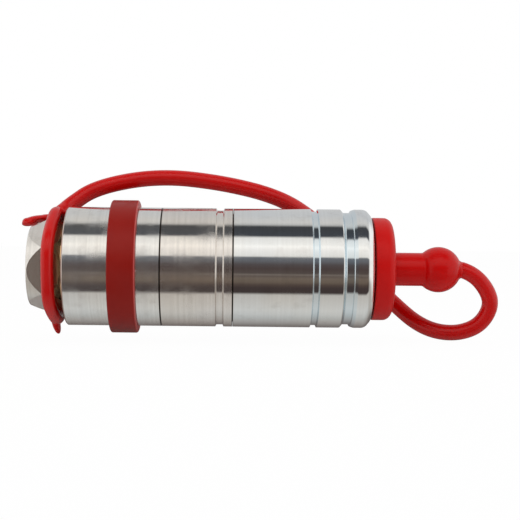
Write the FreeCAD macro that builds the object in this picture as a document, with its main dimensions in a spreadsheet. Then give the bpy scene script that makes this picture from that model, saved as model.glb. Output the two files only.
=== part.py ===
import FreeCAD, Part
import math
import os
import Sketcher

# Push-pull hydraulic quick coupler, female half, with its dust plug and tether.
# The frame has +X along the coupler from the hose port to the plug, +Z up,
# and its origin at the centre of the hexagon's end face. Lengths are millimetres.
#
# Three outer shells are screwed together and slide as one over the valve cartridge.
# The cartridge is the hexagon adapter and the ball-carrying inner body.

doc = FreeCAD.newDocument("quick_coupler")

# Driving dimensions: name, value, meaning

SIZES = [
    ("slide_gap", 0.08, "radial running clearance of the shells on the cartridge"),
    ("thread_gap", 0.05, "radial clearance between screwed walls"),
    ("seal_gap", 0.05, "clearance of a seal in its groove at rest"),
    ("rest_gap", 0.3, "clearance of the soft ring round the hexagon"),
    ("edge_break", 0.35, "chamfer on the shells' edges"),
    ("hex_flats", 27.0, "hexagon across its flats"),
    ("hex_length", 11.3, "hexagon along the axis"),
    ("hex_face_radius", 13.2, "circle where the front chamfer meets the end face"),
    ("hex_front_chamfer", 4.7, "front chamfer along the axis"),
    ("hex_rear_chamfer", 2.6, "rear chamfer along the axis"),
    ("hex_turn", 11.0, "turn of the hexagon about the axis, degrees"),
    ("port_radius", 9.5, "tapping bore of the half inch parallel port"),
    ("port_depth", 16.5, "port bore from the end face"),
    ("port_chamfer", 1.0, "chamfer at the port's mouth"),
    ("passage_radius", 7.5, "oil passage through the adapter"),
    ("passage_flare", 2.4, "flare where the passage meets the poppet guide"),
    ("neck_length", 10.7, "neck between the hexagon and the inner body"),
    ("spigot_radius", 11.9, "screwed spigot of the adapter"),
    ("spigot_length", 23.0, "spigot from the neck to the poppet guide"),
    ("spigot_groove_setback", 3.2, "seal groove's distance from the spigot's end"),
    ("spigot_groove_width", 2.4, "seal groove on the spigot"),
    ("static_seal_wire", 0.95, "section radius of the spigot's O-ring"),
    ("body_radius", 13.4, "outside of the neck and of the inner body"),
    ("body_face_setback", 7.0, "inner body's face behind the front sleeve's face"),
    ("tip_bore_radius", 10.3, "bore that takes the male tip"),
    ("tip_bore_depth", 26.2, "tip bore from the inner body's face"),
    ("tip_lead_in", 1.0, "chamfer at the tip bore's mouth"),
    ("seal_gland_depth", 1.8, "gland of the tip seal below the bore"),
    ("seal_gland_width", 3.8, "gland of the tip seal along the axis"),
    ("seal_gland_setback", 18.8, "front wall of the gland behind the inner body's face"),
    ("tip_seal_wire", 0.98, "section radius of the tip seal"),
    ("backup_ring_width", 1.35, "back-up ring beside the tip seal"),
    ("seat_hole_radius", 7.6, "hole that the poppet's nose passes"),
    ("seat_wall", 3.5, "wall in front of the seat cone"),
    ("chamber_radius", 10.6, "valve chamber"),
    ("ball_count", 8, "locking balls"),
    ("ball_radius", 2.38, "locking ball"),
    ("ball_setback", 14.2, "ball row behind the inner body's face"),
    ("ball_hole_radius", 2.5, "ball hole at the inner body's outside"),
    ("ball_hole_lip_radius", 2.3, "ball hole at the tip bore"),
    ("ball_sink", 0.02, "ball below the inner body's outside when locked"),
    ("stop_ring_width", 3.0, "ring between the two centring springs"),
    ("stop_ring_gap", 0.5, "that ring inside the spring room"),
    ("snap_ring_width", 1.2, "snap ring along the axis"),
    ("snap_groove_depth", 0.9, "snap ring groove"),
    ("snap_ring_proud", 0.5, "snap ring above the inner body"),
    ("snap_ring_gap", 0.05, "snap ring above its groove's floor"),
    ("snap_ring_arc", 330.0, "snap ring round the body, degrees"),
    ("neck_gap", 1.6, "gap between the hexagon and the rear shell"),
    ("shell_radius", 20.0, "outside of the three shells"),
    ("rear_shell_length", 31.6, "rear shell"),
    ("rear_recess_radius", 16.2, "recess that the hexagon runs into"),
    ("rear_recess_depth", 6.6, "that recess along the axis"),
    ("rear_guide_length", 7.5, "rear guide bore"),
    ("band_setback", 14.4, "colour band behind the rear shell's end"),
    ("band_width", 9.2, "colour band along the axis"),
    ("band_wall", 2.8, "wall of the colour band"),
    ("band_groove", 0.4, "groove that holds the colour band"),
    ("band_round", 0.4, "rounding of the colour band's edges"),
    ("screw_wall", 1.7, "wall of a shell round a screwed spigot"),
    ("spigot_wall", 1.4, "wall of a screwed spigot round the spring room"),
    ("rear_screw_length", 6.0, "rear screwed spigot"),
    ("front_screw_length", 7.0, "front screwed spigot"),
    ("middle_shell_length", 23.8, "middle shell between the joints"),
    ("groove_slope", 0.35, "run of the shallow grooves' sloping sides"),
    ("middle_groove_setback", 3.0, "middle shell's groove before the front joint"),
    ("middle_groove_width", 2.6, "middle shell's groove"),
    ("middle_groove_depth", 0.7, "middle shell's groove"),
    ("front_sleeve_length", 45.9, "front sleeve"),
    ("mark_groove_setback", 25.8, "shallow groove of the front sleeve from its joint"),
    ("mark_groove_width", 2.3, "shallow groove of the front sleeve"),
    ("mark_groove_depth", 0.8, "shallow groove of the front sleeve"),
    ("nose_flange", 5.2, "flange in front of the front sleeve's deep groove"),
    ("front_groove_width", 4.2, "deep groove of the front sleeve"),
    ("front_groove_depth", 1.15, "deep groove of the front sleeve"),
    ("front_groove_round", 0.9, "rounding at the foot of the deep groove"),
    ("nose_round", 2.2, "rounding of the front sleeve's nose"),
    ("mouth_chamfer", 1.0, "chamfer of the front sleeve's bore"),
    ("release_radius", 15.3, "grooves that let the balls out"),
    ("land_width", 5.2, "land that holds the balls in"),
    ("release_width", 7.2, "each release groove"),
    ("spring_end_gap", 0.1, "gap between the shells' screwed ends and their shoulders"),
    ("washer_width", 1.0, "spring washer"),
    ("washer_rim_gap", 0.05, "washer inside the spring room"),
    ("washer_bore_gap", 0.3, "washer round the inner body"),
    ("coil_play", 1.0, "spring room that the centring springs leave free"),
    ("wire_share", 0.44, "centring springs' wire radius in the rest of it"),
    ("coil_rim_gap", 0.4, "centring springs inside the spring room"),
    ("centring_turns", 5.0, "turns of each centring spring"),
    ("guide_plate", 3.0, "poppet guide's plate"),
    ("guide_hub_length", 7.0, "poppet guide's hub"),
    ("guide_hub_radius", 5.0, "outside of the hub"),
    ("guide_plate_gap", 0.1, "radial clearance of the plate in the inner body"),
    ("window_inner_radius", 7.7, "inner edge of the oil windows"),
    ("window_outer_radius", 9.8, "outer edge of the oil windows"),
    ("window_half_angle", 30.0, "half of one window, degrees"),
    ("window_count", 4, "oil windows"),
    ("stem_radius", 3.0, "poppet's rear stem"),
    ("stem_gap", 0.06, "radial running clearance of the stem"),
    ("stem_setback", 0.95, "stem's rear end in front of the guide's rear face"),
    ("head_radius", 9.4, "poppet's head"),
    ("head_width", 4.2, "head behind the seal"),
    ("seat_gap", 0.15, "axial gap between the poppet's cone and the seat"),
    ("seal_inner_radius", 8.0, "inner side of the poppet's seal"),
    ("seal_proud", 0.08, "poppet seal proud of the cone"),
    ("seal_edge", 1.4, "poppet seal's outer edge along the axis"),
    ("nose_radius", 6.8, "poppet's nose in the seat hole"),
    ("nose_length", 1.4, "cylinder of that nose"),
    ("nose_cone", 3.3, "cone from the nose to the push stem"),
    ("push_stem_radius", 3.5, "stem that the male tip pushes"),
    ("push_stem_length", 8.2, "push stem"),
    ("push_stem_round", 1.0, "rounding of the push stem's end"),
    ("poppet_wire", 0.7, "wire radius of the poppet spring"),
    ("poppet_coil_radius", 6.6, "mean coil radius of the poppet spring"),
    ("poppet_turns", 6.0, "turns of the poppet spring"),
    ("plug_disc_radius", 17.3, "dust plug's disc"),
    ("plug_disc_width", 7.3, "dust plug's disc along the axis"),
    ("plug_disc_round", 2.0, "rounding of the disc's outer rim"),
    ("plug_nose_gap", 0.15, "radial gap of the plug's nose in the tip bore"),
    ("plug_nose_length", 10.6, "plug's nose behind the disc"),
    ("plug_nose_round", 1.2, "rounding of the nose's end"),
    ("plug_wall", 2.3, "wall of the hollow nose"),
    ("plug_floor", 5.4, "solid disc outside the hollow"),
    ("pull_stem_radius", 5.6, "stem of the plug's pull"),
    ("pull_ball_radius", 7.7, "ball of the plug's pull"),
    ("pull_ball_reach", 16.2, "ball's centre in front of the disc"),
    ("root_radius", 3.3, "cord's root on the ball"),
    ("root_reach", 7.9, "root's end in front of the ball's centre"),
    ("root_taper", 1.3, "taper of the root down to the cord"),
    ("cord_radius", 2.72, "tether cord"),
    ("ring_wire", 2.15, "section radius of the tether ring"),
    ("ring_place", 8.0, "tether ring's plane from the end face"),
    ("tab_length", 13.4, "pull tab on the tether ring"),
    ("tab_width", 7.0, "pull tab across"),
    ("tab_thickness", 3.2, "pull tab's thickness"),
    ("tab_reach", 6.0, "tab's middle in front of the ring's plane"),
    ("tab_turn", 64.2, "tab round the axis, degrees from the rear side up"),
    ("tab_proud", 0.6, "tab's middle outside the ring's middle line at a flat"),
    ("tab_tilt", -8.0, "tab's lean along the axis, degrees"),
    ("pip_length", 8.6, "small pip under the tether ring"),
    ("pip_width", 2.6, "small pip across"),
    ("pip_offset", 0.3, "pip's middle in front of the ring's plane"),
    ("pip_turn", 279.4, "pip round the axis, degrees from the rear side up"),
    ("pip_proud", 1.6, "pip's middle outside the ring's middle line at a corner"),
    ("pip_tilt", -15.0, "pip's lean along the axis, degrees"),
    ("stub_length", 4.0, "stub of the ring that the cord leaves from"),
]

# Places and radii that follow from the driving dimensions

PLACES = [
    ("hex_corner_radius", "Sizes.hex_flats / sqrt(3)"),
    ("neck_end", "Sizes.hex_length + Sizes.neck_length"),
    ("spigot_end", "Places.neck_end + Sizes.spigot_length"),
    ("socket_radius", "Sizes.spigot_radius + Sizes.thread_gap"),
    ("adapter_seal_place",
     "Places.spigot_end - Sizes.spigot_groove_setback - Sizes.spigot_groove_width / 2"),
    ("adapter_seal_circle", "Places.socket_radius - Sizes.static_seal_wire - Sizes.seal_gap"),
    ("spigot_groove_floor", "Places.adapter_seal_circle - Sizes.static_seal_wire - Sizes.seal_gap"),
    ("guide_seat", "Places.spigot_end + Sizes.guide_plate"),
    ("slide_radius", "Sizes.body_radius + Sizes.slide_gap"),
    ("rear_start", "Sizes.hex_length + Sizes.neck_gap"),
    ("rear_end", "Places.rear_start + Sizes.rear_shell_length"),
    ("middle_end", "Places.rear_end + Sizes.middle_shell_length"),
    ("front_end", "Places.middle_end + Sizes.front_sleeve_length"),
    ("rear_guide_start", "Places.rear_start + Sizes.rear_recess_depth"),
    ("spring_start", "Places.rear_guide_start + Sizes.rear_guide_length"),
    ("rear_screw_start", "Places.rear_end - Sizes.rear_screw_length"),
    ("front_screw_end", "Places.middle_end + Sizes.front_screw_length"),
    ("spring_end", "Places.front_screw_end + Sizes.spring_end_gap"),
    ("screw_radius", "Sizes.shell_radius - Sizes.screw_wall"),
    ("nut_radius", "Places.screw_radius + Sizes.thread_gap"),
    ("spring_room_radius", "Places.screw_radius - Sizes.spigot_wall"),
    ("stop_ring_radius", "Places.spring_room_radius - Sizes.stop_ring_gap"),
    ("centring_wire",
     "(Places.spring_room_radius - Sizes.body_radius - Sizes.coil_play) * Sizes.wire_share"),
    ("centring_coil_radius",
     "Places.spring_room_radius - Sizes.coil_rim_gap - Places.centring_wire"),
    ("band_start", "Places.rear_start + Sizes.band_setback"),
    ("band_end", "Places.band_start + Sizes.band_width"),
    ("band_seat_radius", "Sizes.shell_radius - Sizes.band_groove"),
    ("band_radius", "Places.band_seat_radius + Sizes.band_wall"),
    ("stop_start", "(Places.spring_start + Places.spring_end - Sizes.stop_ring_width) / 2"),
    ("stop_end", "Places.stop_start + Sizes.stop_ring_width"),
    ("snap_floor", "Sizes.body_radius - Sizes.snap_groove_depth"),
    ("body_end", "Places.front_end - Sizes.body_face_setback"),
    ("ball_place", "Places.body_end - Sizes.ball_setback"),
    ("ball_circle", "Sizes.body_radius - Sizes.ball_sink - Sizes.ball_radius"),
    ("tip_bore_end", "Places.body_end - Sizes.tip_bore_depth"),
    ("gland_end", "Places.body_end - Sizes.seal_gland_setback"),
    ("gland_start", "Places.gland_end - Sizes.seal_gland_width"),
    ("gland_floor", "Sizes.tip_bore_radius + Sizes.seal_gland_depth"),
    ("tip_seal_place", "Places.gland_start + Sizes.backup_ring_width / 2 + Sizes.seal_gland_width / 2"),
    ("tip_seal_circle", "Places.gland_floor - Sizes.tip_seal_wire - Sizes.seal_gap"),
    ("seat_end", "Places.tip_bore_end - Sizes.seat_wall"),
    ("seat_start", "Places.seat_end - Sizes.chamber_radius + Sizes.seat_hole_radius"),
    ("land_start", "Places.ball_place - Sizes.land_width / 2"),
    ("land_end", "Places.ball_place + Sizes.land_width / 2"),
    ("release_slope", "Sizes.release_radius - Places.slide_radius"),
    ("middle_groove_end", "Places.middle_end - Sizes.middle_groove_setback"),
    ("middle_groove_start", "Places.middle_groove_end - Sizes.middle_groove_width"),
    ("mark_groove_start", "Places.middle_end + Sizes.mark_groove_setback"),
    ("mark_groove_end", "Places.mark_groove_start + Sizes.mark_groove_width"),
    ("deep_groove_end", "Places.front_end - Sizes.nose_flange"),
    ("deep_groove_start", "Places.deep_groove_end - Sizes.front_groove_width"),
    ("cone_reach", "Places.seat_end + Sizes.seat_hole_radius - Sizes.seat_gap"),
    ("nose_start", "Places.cone_reach - Sizes.nose_radius"),
    ("nose_end", "Places.nose_start + Sizes.nose_length"),
    ("push_stem_start", "Places.nose_end + Sizes.nose_cone"),
    ("push_stem_end", "Places.push_stem_start + Sizes.push_stem_length"),
    ("head_end", "Places.cone_reach - Sizes.head_radius - Sizes.seal_edge"),
    ("head_start", "Places.head_end - Sizes.head_width"),
    ("stem_start", "Places.spigot_end + Sizes.stem_setback"),
    ("nose_seal_radius", "Sizes.tip_bore_radius - Sizes.plug_nose_gap"),
    ("plug_nose_start", "Places.front_end - Sizes.plug_nose_length"),
    ("plug_disc_end", "Places.front_end + Sizes.plug_disc_width"),
    ("pull_ball_place", "Places.plug_disc_end + Sizes.pull_ball_reach"),
    ("root_end", "Places.pull_ball_place + Sizes.root_reach"),
    ("ring_offset", "Sizes.rest_gap + Sizes.ring_wire"),
    ("tab_circle", "Sizes.hex_flats / 2 + Places.ring_offset + Sizes.tab_proud"),
    ("tab_side", "Places.tab_circle * cos(Sizes.tab_turn)"),
    ("tab_height", "Places.tab_circle * sin(Sizes.tab_turn)"),
    ("tab_place", "Sizes.ring_place - Sizes.tab_reach"),
    ("pip_circle", "Places.hex_corner_radius + Places.ring_offset + Sizes.pip_proud"),
    ("pip_side", "Places.pip_circle * cos(Sizes.pip_turn)"),
    ("pip_height", "Places.pip_circle * sin(Sizes.pip_turn)"),
    ("pip_place", "Sizes.ring_place - Sizes.pip_offset"),
]

sheet = doc.addObject("Spreadsheet::Sheet", "Sizes")
for row, (name, value, meaning) in enumerate(SIZES, start=1):
    sheet.set(f"A{row}", meaning)
    sheet.set(f"B{row}", str(value))
    sheet.setAlias(f"B{row}", name)
doc.recompute()

places = doc.addObject("App::VarSet", "Places")
for name, rule in PLACES:
    places.addProperty("App::PropertyFloat", name)
    places.setExpression(name, rule)
doc.recompute()

size_names = {name for name, value, meaning in SIZES}

# A hexagon's sides, and the step below which two coordinates are the same

HEX_SIDES = 6
SAME_PLACE = 1e-6


def measure(name):
    """The value behind one name, from the sheet or from the places."""
    if name in size_names:
        return float(sheet.get(name))
    return float(getattr(places, name))


def amount(text):
    """The value of a sum of names such as 'rear_end - edge_break'."""
    total = 0.0
    sign = 1.0
    for word in text.split():
        if word == "+":
            sign = 1.0
        elif word == "-":
            sign = -1.0
        else:
            total += sign * measure(word)
            sign = 1.0
    return total


def bound(text):
    """The same sum as an expression on the sheet and the places."""
    words = []
    for word in text.split():
        if word in ("+", "-"):
            words.append(word)
        else:
            owner = "Sizes" if word in size_names else "Places"
            words.append(f"{owner}.{word}")
    return " ".join(words)


def origin_plane(body, role):
    """One of the body's own origin planes or axes."""
    for feature in body.Origin.OriginFeatures:
        if feature.Role == role:
            return feature


def new_body(label):
    body = doc.addObject("PartDesign::Body", label)
    body.Label = label
    return body


def new_sketch(body, name, role="XZ_Plane"):
    sketch = body.newObject("Sketcher::SketchObject", name)
    sketch.AttachmentSupport = [(origin_plane(body, role), "")]
    sketch.MapMode = "FlatFace"
    return sketch


def pin_point(sketch, index, end, along, across):
    """Tie one end of a line to its named place; '0' puts it on the axis."""
    for kind, text, axis in (("DistanceX", along, -2), ("DistanceY", across, -1)):
        if text == "0":
            sketch.addConstraint(Sketcher.Constraint("PointOnObject", index, end, axis))
        else:
            rule = Sketcher.Constraint(kind, index, end, amount(text))
            number = sketch.addConstraint(rule)
            sketch.setExpression(f"Constraints[{number}]", bound(text))


def value_of(text):
    return 0.0 if text == "0" else amount(text)


def direction(start, end):
    """Signs of the step from one corner to the next, along and across."""
    step = [value_of(end[i]) - value_of(start[i]) for i in (0, 1)]
    return [0 if abs(s) < SAME_PLACE else int(math.copysign(1, s)) for s in step]


def shifted(text, sign, radius):
    """A corner's coordinate moved by a rounding radius."""
    if sign == 0:
        return text
    word = "+" if sign > 0 else "-"
    return f"{word} {radius}" if text == "0" else f"{text} {word} {radius}"


def outline(sketch, corners):
    """A closed outline. A third item on a square corner rounds it."""
    points = []
    arcs = {}
    for i, corner in enumerate(corners):
        if len(corner) == 2:
            points.append(corner)
            continue
        radius = corner[2]
        before = direction(corner, corners[i - 1])
        after = direction(corner, corners[(i + 1) % len(corners)])
        first = [shifted(corner[k], before[k], radius) for k in (0, 1)]
        second = [shifted(corner[k], after[k], radius) for k in (0, 1)]
        middle = [shifted(first[k], after[k], radius) for k in (0, 1)]
        arcs[len(points)] = (middle, radius)
        points.append(first)
        points.append(second)
    ends = []
    for i, start in enumerate(points):
        stop = points[(i + 1) % len(points)]
        a = FreeCAD.Vector(value_of(start[0]), value_of(start[1]), 0)
        b = FreeCAD.Vector(value_of(stop[0]), value_of(stop[1]), 0)
        if i not in arcs:
            index = sketch.addGeometry(Part.LineSegment(a, b))
            ends.append((index, 1, 2))
            continue
        middle, radius = arcs[i]
        centre = FreeCAD.Vector(value_of(middle[0]), value_of(middle[1]), 0)
        turn_a = math.atan2(a.y - centre.y, a.x - centre.x)
        turn_b = math.atan2(b.y - centre.y, b.x - centre.x)
        forward = math.sin(turn_b - turn_a) > 0
        sweep = (turn_a, turn_b) if forward else (turn_b, turn_a)
        circle = Part.Circle(centre, FreeCAD.Vector(0, 0, 1), amount(radius))
        index = sketch.addGeometry(Part.ArcOfCircle(circle, *sweep))
        ends.append((index, 1, 2) if forward else (index, 2, 1))
        number = sketch.addConstraint(Sketcher.Constraint("Radius", index, amount(radius)))
        sketch.setExpression(f"Constraints[{number}]", bound(radius))
    for i, (index, start, stop) in enumerate(ends):
        follower = ends[(i + 1) % len(ends)]
        sketch.addConstraint(Sketcher.Constraint("Coincident", index, stop, follower[0], follower[1]))
        pin_point(sketch, index, start, *points[i])


def turn_profile(body, name, corners, kind="PartDesign::Revolution"):
    """Turn an outline of (place along X, radius) round the coupler's axis."""
    sketch = new_sketch(body, name + "_outline")
    outline(sketch, corners)
    feature = body.newObject(kind, name)
    feature.Profile = sketch
    feature.ReferenceAxis = (sketch, ["H_Axis"])
    feature.Angle = 360
    sketch.Visibility = False
    return feature


def turned(label, corners):
    body = new_body(label)
    turn_profile(body, label + "_turning", corners)
    return body


def ring_round_axis(body, feature, count, rule=None):
    """Repeat one feature round the coupler's axis; a rule ties the count to the sheet."""
    pattern = body.newObject("PartDesign::PolarPattern", feature.Name + "_row")
    pattern.Originals = [feature]
    pattern.Axis = (origin_plane(body, "X_Axis"), [""])
    pattern.Angle = 360
    pattern.Occurrences = count
    if rule:
        pattern.setExpression("Occurrences", rule)
    body.Tip = pattern


def torus(label, place, circle, wire):
    """An O-ring round the coupler's axis."""
    ring = doc.addObject("Part::Torus", label)
    ring.Label = label
    ring.setExpression("Radius1", bound(circle))
    ring.setExpression("Radius2", bound(wire))
    ring.Placement = FreeCAD.Placement(
        FreeCAD.Vector(0, 0, 0), FreeCAD.Rotation(FreeCAD.Vector(0, 1, 0), 90))
    ring.setExpression("Placement.Base.x", bound(place))
    return ring


def coil(label, start, stop, circle, wire, turns):
    """A compression spring between two places along the axis."""
    body = new_body(label)
    sketch = new_sketch(body, label + "_wire")
    centre = FreeCAD.Vector(amount(start + " + " + wire), amount(circle), 0)
    round_wire = Part.Circle(centre, FreeCAD.Vector(0, 0, 1), amount(wire))
    sketch.addGeometry(round_wire)
    pin_point(sketch, 0, 3, start + " + " + wire, circle)
    number = sketch.addConstraint(Sketcher.Constraint("Radius", 0, amount(wire)))
    sketch.setExpression(f"Constraints[{number}]", bound(wire))
    helix = body.newObject("PartDesign::AdditiveHelix", label + "_coil")
    helix.Profile = sketch
    helix.ReferenceAxis = (sketch, ["H_Axis"])
    helix.Mode = "height-turns-angle"
    room = f"({bound(stop)}) - ({bound(start)}) - 2 * {bound(wire)}"
    helix.Height = amount(stop) - amount(start) - 2 * amount(wire)
    helix.setExpression("Height", room)
    helix.Turns = amount(turns)
    helix.setExpression("Turns", bound(turns))
    sketch.Visibility = False
    return body


def hexagon_adapter():
    """Turned bar with a milled hexagon, the hose port and a screwed spigot."""
    body = new_body("hex_adapter")
    groove_end = "spigot_end - spigot_groove_setback"
    groove_start = groove_end + " - spigot_groove_width"
    turn_profile(body, "adapter_turning", [
        ("0", "port_radius + port_chamfer"),
        ("0", "hex_face_radius"),
        ("hex_front_chamfer", "hex_corner_radius"),
        ("hex_length - hex_rear_chamfer", "hex_corner_radius"),
        ("hex_length", "body_radius"),
        ("neck_end", "body_radius"),
        ("neck_end", "spigot_radius"),
        (groove_start, "spigot_radius"),
        (groove_start, "spigot_groove_floor"),
        (groove_end, "spigot_groove_floor"),
        (groove_end, "spigot_radius"),
        ("spigot_end", "spigot_radius"),
        ("spigot_end", "passage_radius + passage_flare"),
        ("spigot_end - passage_flare", "passage_radius"),
        ("port_depth", "passage_radius"),
        ("port_depth", "port_radius"),
        ("port_chamfer", "port_radius"),
    ])
    sketch = new_sketch(body, "flat_outline", "YZ_Plane")
    sketch.AttachmentOffset = FreeCAD.Placement(
        FreeCAD.Vector(0, 0, 0), FreeCAD.Rotation(FreeCAD.Vector(0, 0, 1), 1))
    sketch.setExpression("AttachmentOffset.Rotation.Angle", "Sizes.hex_turn")
    half = measure("hex_flats") / 2
    reach = measure("hex_flats")
    spots = [(half, -half), (reach, -half), (reach, half), (half, half)]
    rules = [
        ("Sizes.hex_flats / 2", "-Sizes.hex_flats / 2"),
        ("Sizes.hex_flats", "-Sizes.hex_flats / 2"),
        ("Sizes.hex_flats", "Sizes.hex_flats / 2"),
        ("Sizes.hex_flats / 2", "Sizes.hex_flats / 2"),
    ]
    for i, spot in enumerate(spots):
        after = spots[(i + 1) % len(spots)]
        sketch.addGeometry(Part.LineSegment(FreeCAD.Vector(*spot, 0), FreeCAD.Vector(*after, 0)))
    for i, spot in enumerate(spots):
        after = (i + 1) % len(spots)
        sketch.addConstraint(Sketcher.Constraint("Coincident", i, 2, after, 1))
        for k, kind in enumerate(("DistanceX", "DistanceY")):
            number = sketch.addConstraint(Sketcher.Constraint(kind, i, 1, spot[k]))
            sketch.setExpression(f"Constraints[{number}]", rules[i][k])
    flat = body.newObject("PartDesign::Pocket", "milled_flat")
    flat.Profile = sketch
    flat.Reversed = True
    flat.Length = measure("hex_length")
    flat.setExpression("Length", bound("hex_length"))
    sketch.Visibility = False
    ring_round_axis(body, flat, HEX_SIDES)
    return body


def ball_carrier():
    """The inner body: tip bore, seal gland, seat cone, valve chamber and ball holes."""
    body = new_body("inner_body")
    snap_rear = "stop_start - snap_ring_width"
    snap_front = "stop_end + snap_ring_width"
    turn_profile(body, "inner_turning", [
        ("neck_end", "socket_radius"),
        ("neck_end", "body_radius"),
        (snap_rear, "body_radius"),
        (snap_rear, "snap_floor"),
        ("stop_start", "snap_floor"),
        ("stop_start", "body_radius"),
        ("stop_end", "body_radius"),
        ("stop_end", "snap_floor"),
        (snap_front, "snap_floor"),
        (snap_front, "body_radius"),
        ("body_end - edge_break", "body_radius"),
        ("body_end", "body_radius - edge_break"),
        ("body_end", "tip_bore_radius + tip_lead_in"),
        ("body_end - tip_lead_in", "tip_bore_radius"),
        ("gland_end", "tip_bore_radius"),
        ("gland_end", "gland_floor"),
        ("gland_start", "gland_floor"),
        ("gland_start", "tip_bore_radius"),
        ("tip_bore_end", "tip_bore_radius"),
        ("tip_bore_end", "seat_hole_radius"),
        ("seat_end", "seat_hole_radius"),
        ("seat_start", "chamber_radius"),
        ("guide_seat", "chamber_radius"),
        ("guide_seat", "socket_radius"),
    ])
    sketch = new_sketch(body, "ball_hole_outline")
    sketch.AttachmentOffset = FreeCAD.Placement(
        FreeCAD.Vector(1, 0, 0), FreeCAD.Rotation())
    sketch.setExpression("AttachmentOffset.Base.x", bound("ball_place"))
    outline(sketch, [
        ("0", "ball_circle - ball_radius"),
        ("ball_hole_lip_radius", "ball_circle - ball_radius"),
        ("ball_hole_lip_radius", "tip_bore_radius"),
        ("ball_hole_radius", "ball_circle"),
        ("ball_hole_radius", "body_radius + ball_radius"),
        ("0", "body_radius + ball_radius"),
    ])
    hole = body.newObject("PartDesign::Groove", "ball_hole")
    hole.Profile = sketch
    hole.ReferenceAxis = (sketch, ["V_Axis"])
    hole.Angle = 360
    sketch.Visibility = False
    ring_round_axis(body, hole, int(measure("ball_count")), bound("ball_count"))
    return body


def ball_row():
    """The locking balls, one group of separate solids."""
    count = int(measure("ball_count"))
    balls = []
    for i in range(count):
        ball = doc.addObject("Part::Sphere", f"ball_{i + 1}")
        ball.setExpression("Radius", bound("ball_radius"))
        angle = f"360 * {i} / Sizes.ball_count"
        ball.setExpression("Placement.Base.x", bound("ball_place"))
        ball.setExpression("Placement.Base.y", f"-Places.ball_circle * sin({angle})")
        ball.setExpression("Placement.Base.z", f"Places.ball_circle * cos({angle})")
        balls.append(ball)
    row = doc.addObject("Part::Compound", "locking_balls")
    row.Label = "locking_balls"
    row.Links = balls
    return row


def snap_ring(label, start):
    """An open ring in its groove on the inner body."""
    body = new_body(label)
    stop = start + " + snap_ring_width"
    feature = turn_profile(body, label + "_turning", [
        (start, "snap_floor + snap_ring_gap"),
        (stop, "snap_floor + snap_ring_gap"),
        (stop, "body_radius + snap_ring_proud"),
        (start, "body_radius + snap_ring_proud"),
    ])
    feature.Angle = measure("snap_ring_arc")
    feature.setExpression("Angle", bound("snap_ring_arc"))
    return body


def poppet_guide():
    """Plate with a hub for the poppet's stem and oil windows round it."""
    body = new_body("poppet_guide")
    turn_profile(body, "guide_turning", [
        ("spigot_end", "stem_radius + stem_gap"),
        ("spigot_end", "socket_radius - guide_plate_gap"),
        ("guide_seat", "socket_radius - guide_plate_gap"),
        ("guide_seat", "guide_hub_radius"),
        ("spigot_end + guide_hub_length", "guide_hub_radius"),
        ("spigot_end + guide_hub_length", "stem_radius + stem_gap"),
    ])
    sketch = new_sketch(body, "window_outline", "YZ_Plane")
    sketch.AttachmentOffset = FreeCAD.Placement(FreeCAD.Vector(0, 0, 1), FreeCAD.Rotation())
    sketch.setExpression("AttachmentOffset.Base.z", bound("spigot_end"))
    half = math.radians(measure("window_half_angle"))
    middle = FreeCAD.Vector(0, 0, 0)
    up = FreeCAD.Vector(0, 0, 1)
    inner = measure("window_inner_radius")
    outer = measure("window_outer_radius")
    for radius in (inner, outer):
        sketch.addGeometry(Part.ArcOfCircle(Part.Circle(middle, up, radius), -half, half))
    for side in (-1, 1):
        ray = FreeCAD.Vector(math.cos(half), side * math.sin(half), 0)
        sketch.addGeometry(Part.LineSegment(ray * inner, ray * outer))
    for arc, name in ((0, "window_inner_radius"), (1, "window_outer_radius")):
        sketch.addConstraint(Sketcher.Constraint("Coincident", arc, 3, -1, 1))
        sketch.addConstraint(Sketcher.Constraint("Coincident", arc, 1, 2, arc + 1))
        sketch.addConstraint(Sketcher.Constraint("Coincident", arc, 2, 3, arc + 1))
        number = sketch.addConstraint(Sketcher.Constraint("Radius", arc, measure(name)))
        sketch.setExpression(f"Constraints[{number}]", bound(name))
    for line, sign in ((2, -1), (3, 1)):
        rule = Sketcher.Constraint("DistanceY", line, 2, sign * outer * math.sin(half))
        number = sketch.addConstraint(rule)
        text = f"{sign} * Sizes.window_outer_radius * sin(Sizes.window_half_angle)"
        sketch.setExpression(f"Constraints[{number}]", text)
        rule = Sketcher.Constraint("DistanceY", line, 1, sign * inner * math.sin(half))
        number = sketch.addConstraint(rule)
        text = f"{sign} * Sizes.window_inner_radius * sin(Sizes.window_half_angle)"
        sketch.setExpression(f"Constraints[{number}]", text)
    window = body.newObject("PartDesign::Pocket", "oil_window")
    window.Profile = sketch
    window.Reversed = True
    window.Length = measure("guide_plate")
    window.setExpression("Length", bound("guide_plate"))
    sketch.Visibility = False
    ring_round_axis(body, window, int(measure("window_count")), bound("window_count"))
    return body


def poppet_and_seal():
    """The poppet with its bonded seal flush with the cone."""
    turned("poppet", [
        ("stem_start", "0"),
        ("stem_start", "stem_radius"),
        ("head_start", "stem_radius"),
        ("head_start", "head_radius"),
        ("head_end", "head_radius"),
        ("head_end", "seal_inner_radius"),
        ("cone_reach - seal_inner_radius", "seal_inner_radius"),
        ("nose_start", "nose_radius"),
        ("nose_end", "nose_radius"),
        ("push_stem_start", "push_stem_radius"),
        ("push_stem_end", "push_stem_radius", "push_stem_round"),
        ("push_stem_end", "0"),
    ])
    turned("poppet_seal", [
        ("head_end", "seal_inner_radius"),
        ("head_end", "head_radius"),
        ("cone_reach + seal_proud - head_radius", "head_radius"),
        ("cone_reach + seal_proud - seal_inner_radius", "seal_inner_radius"),
    ])


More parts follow.
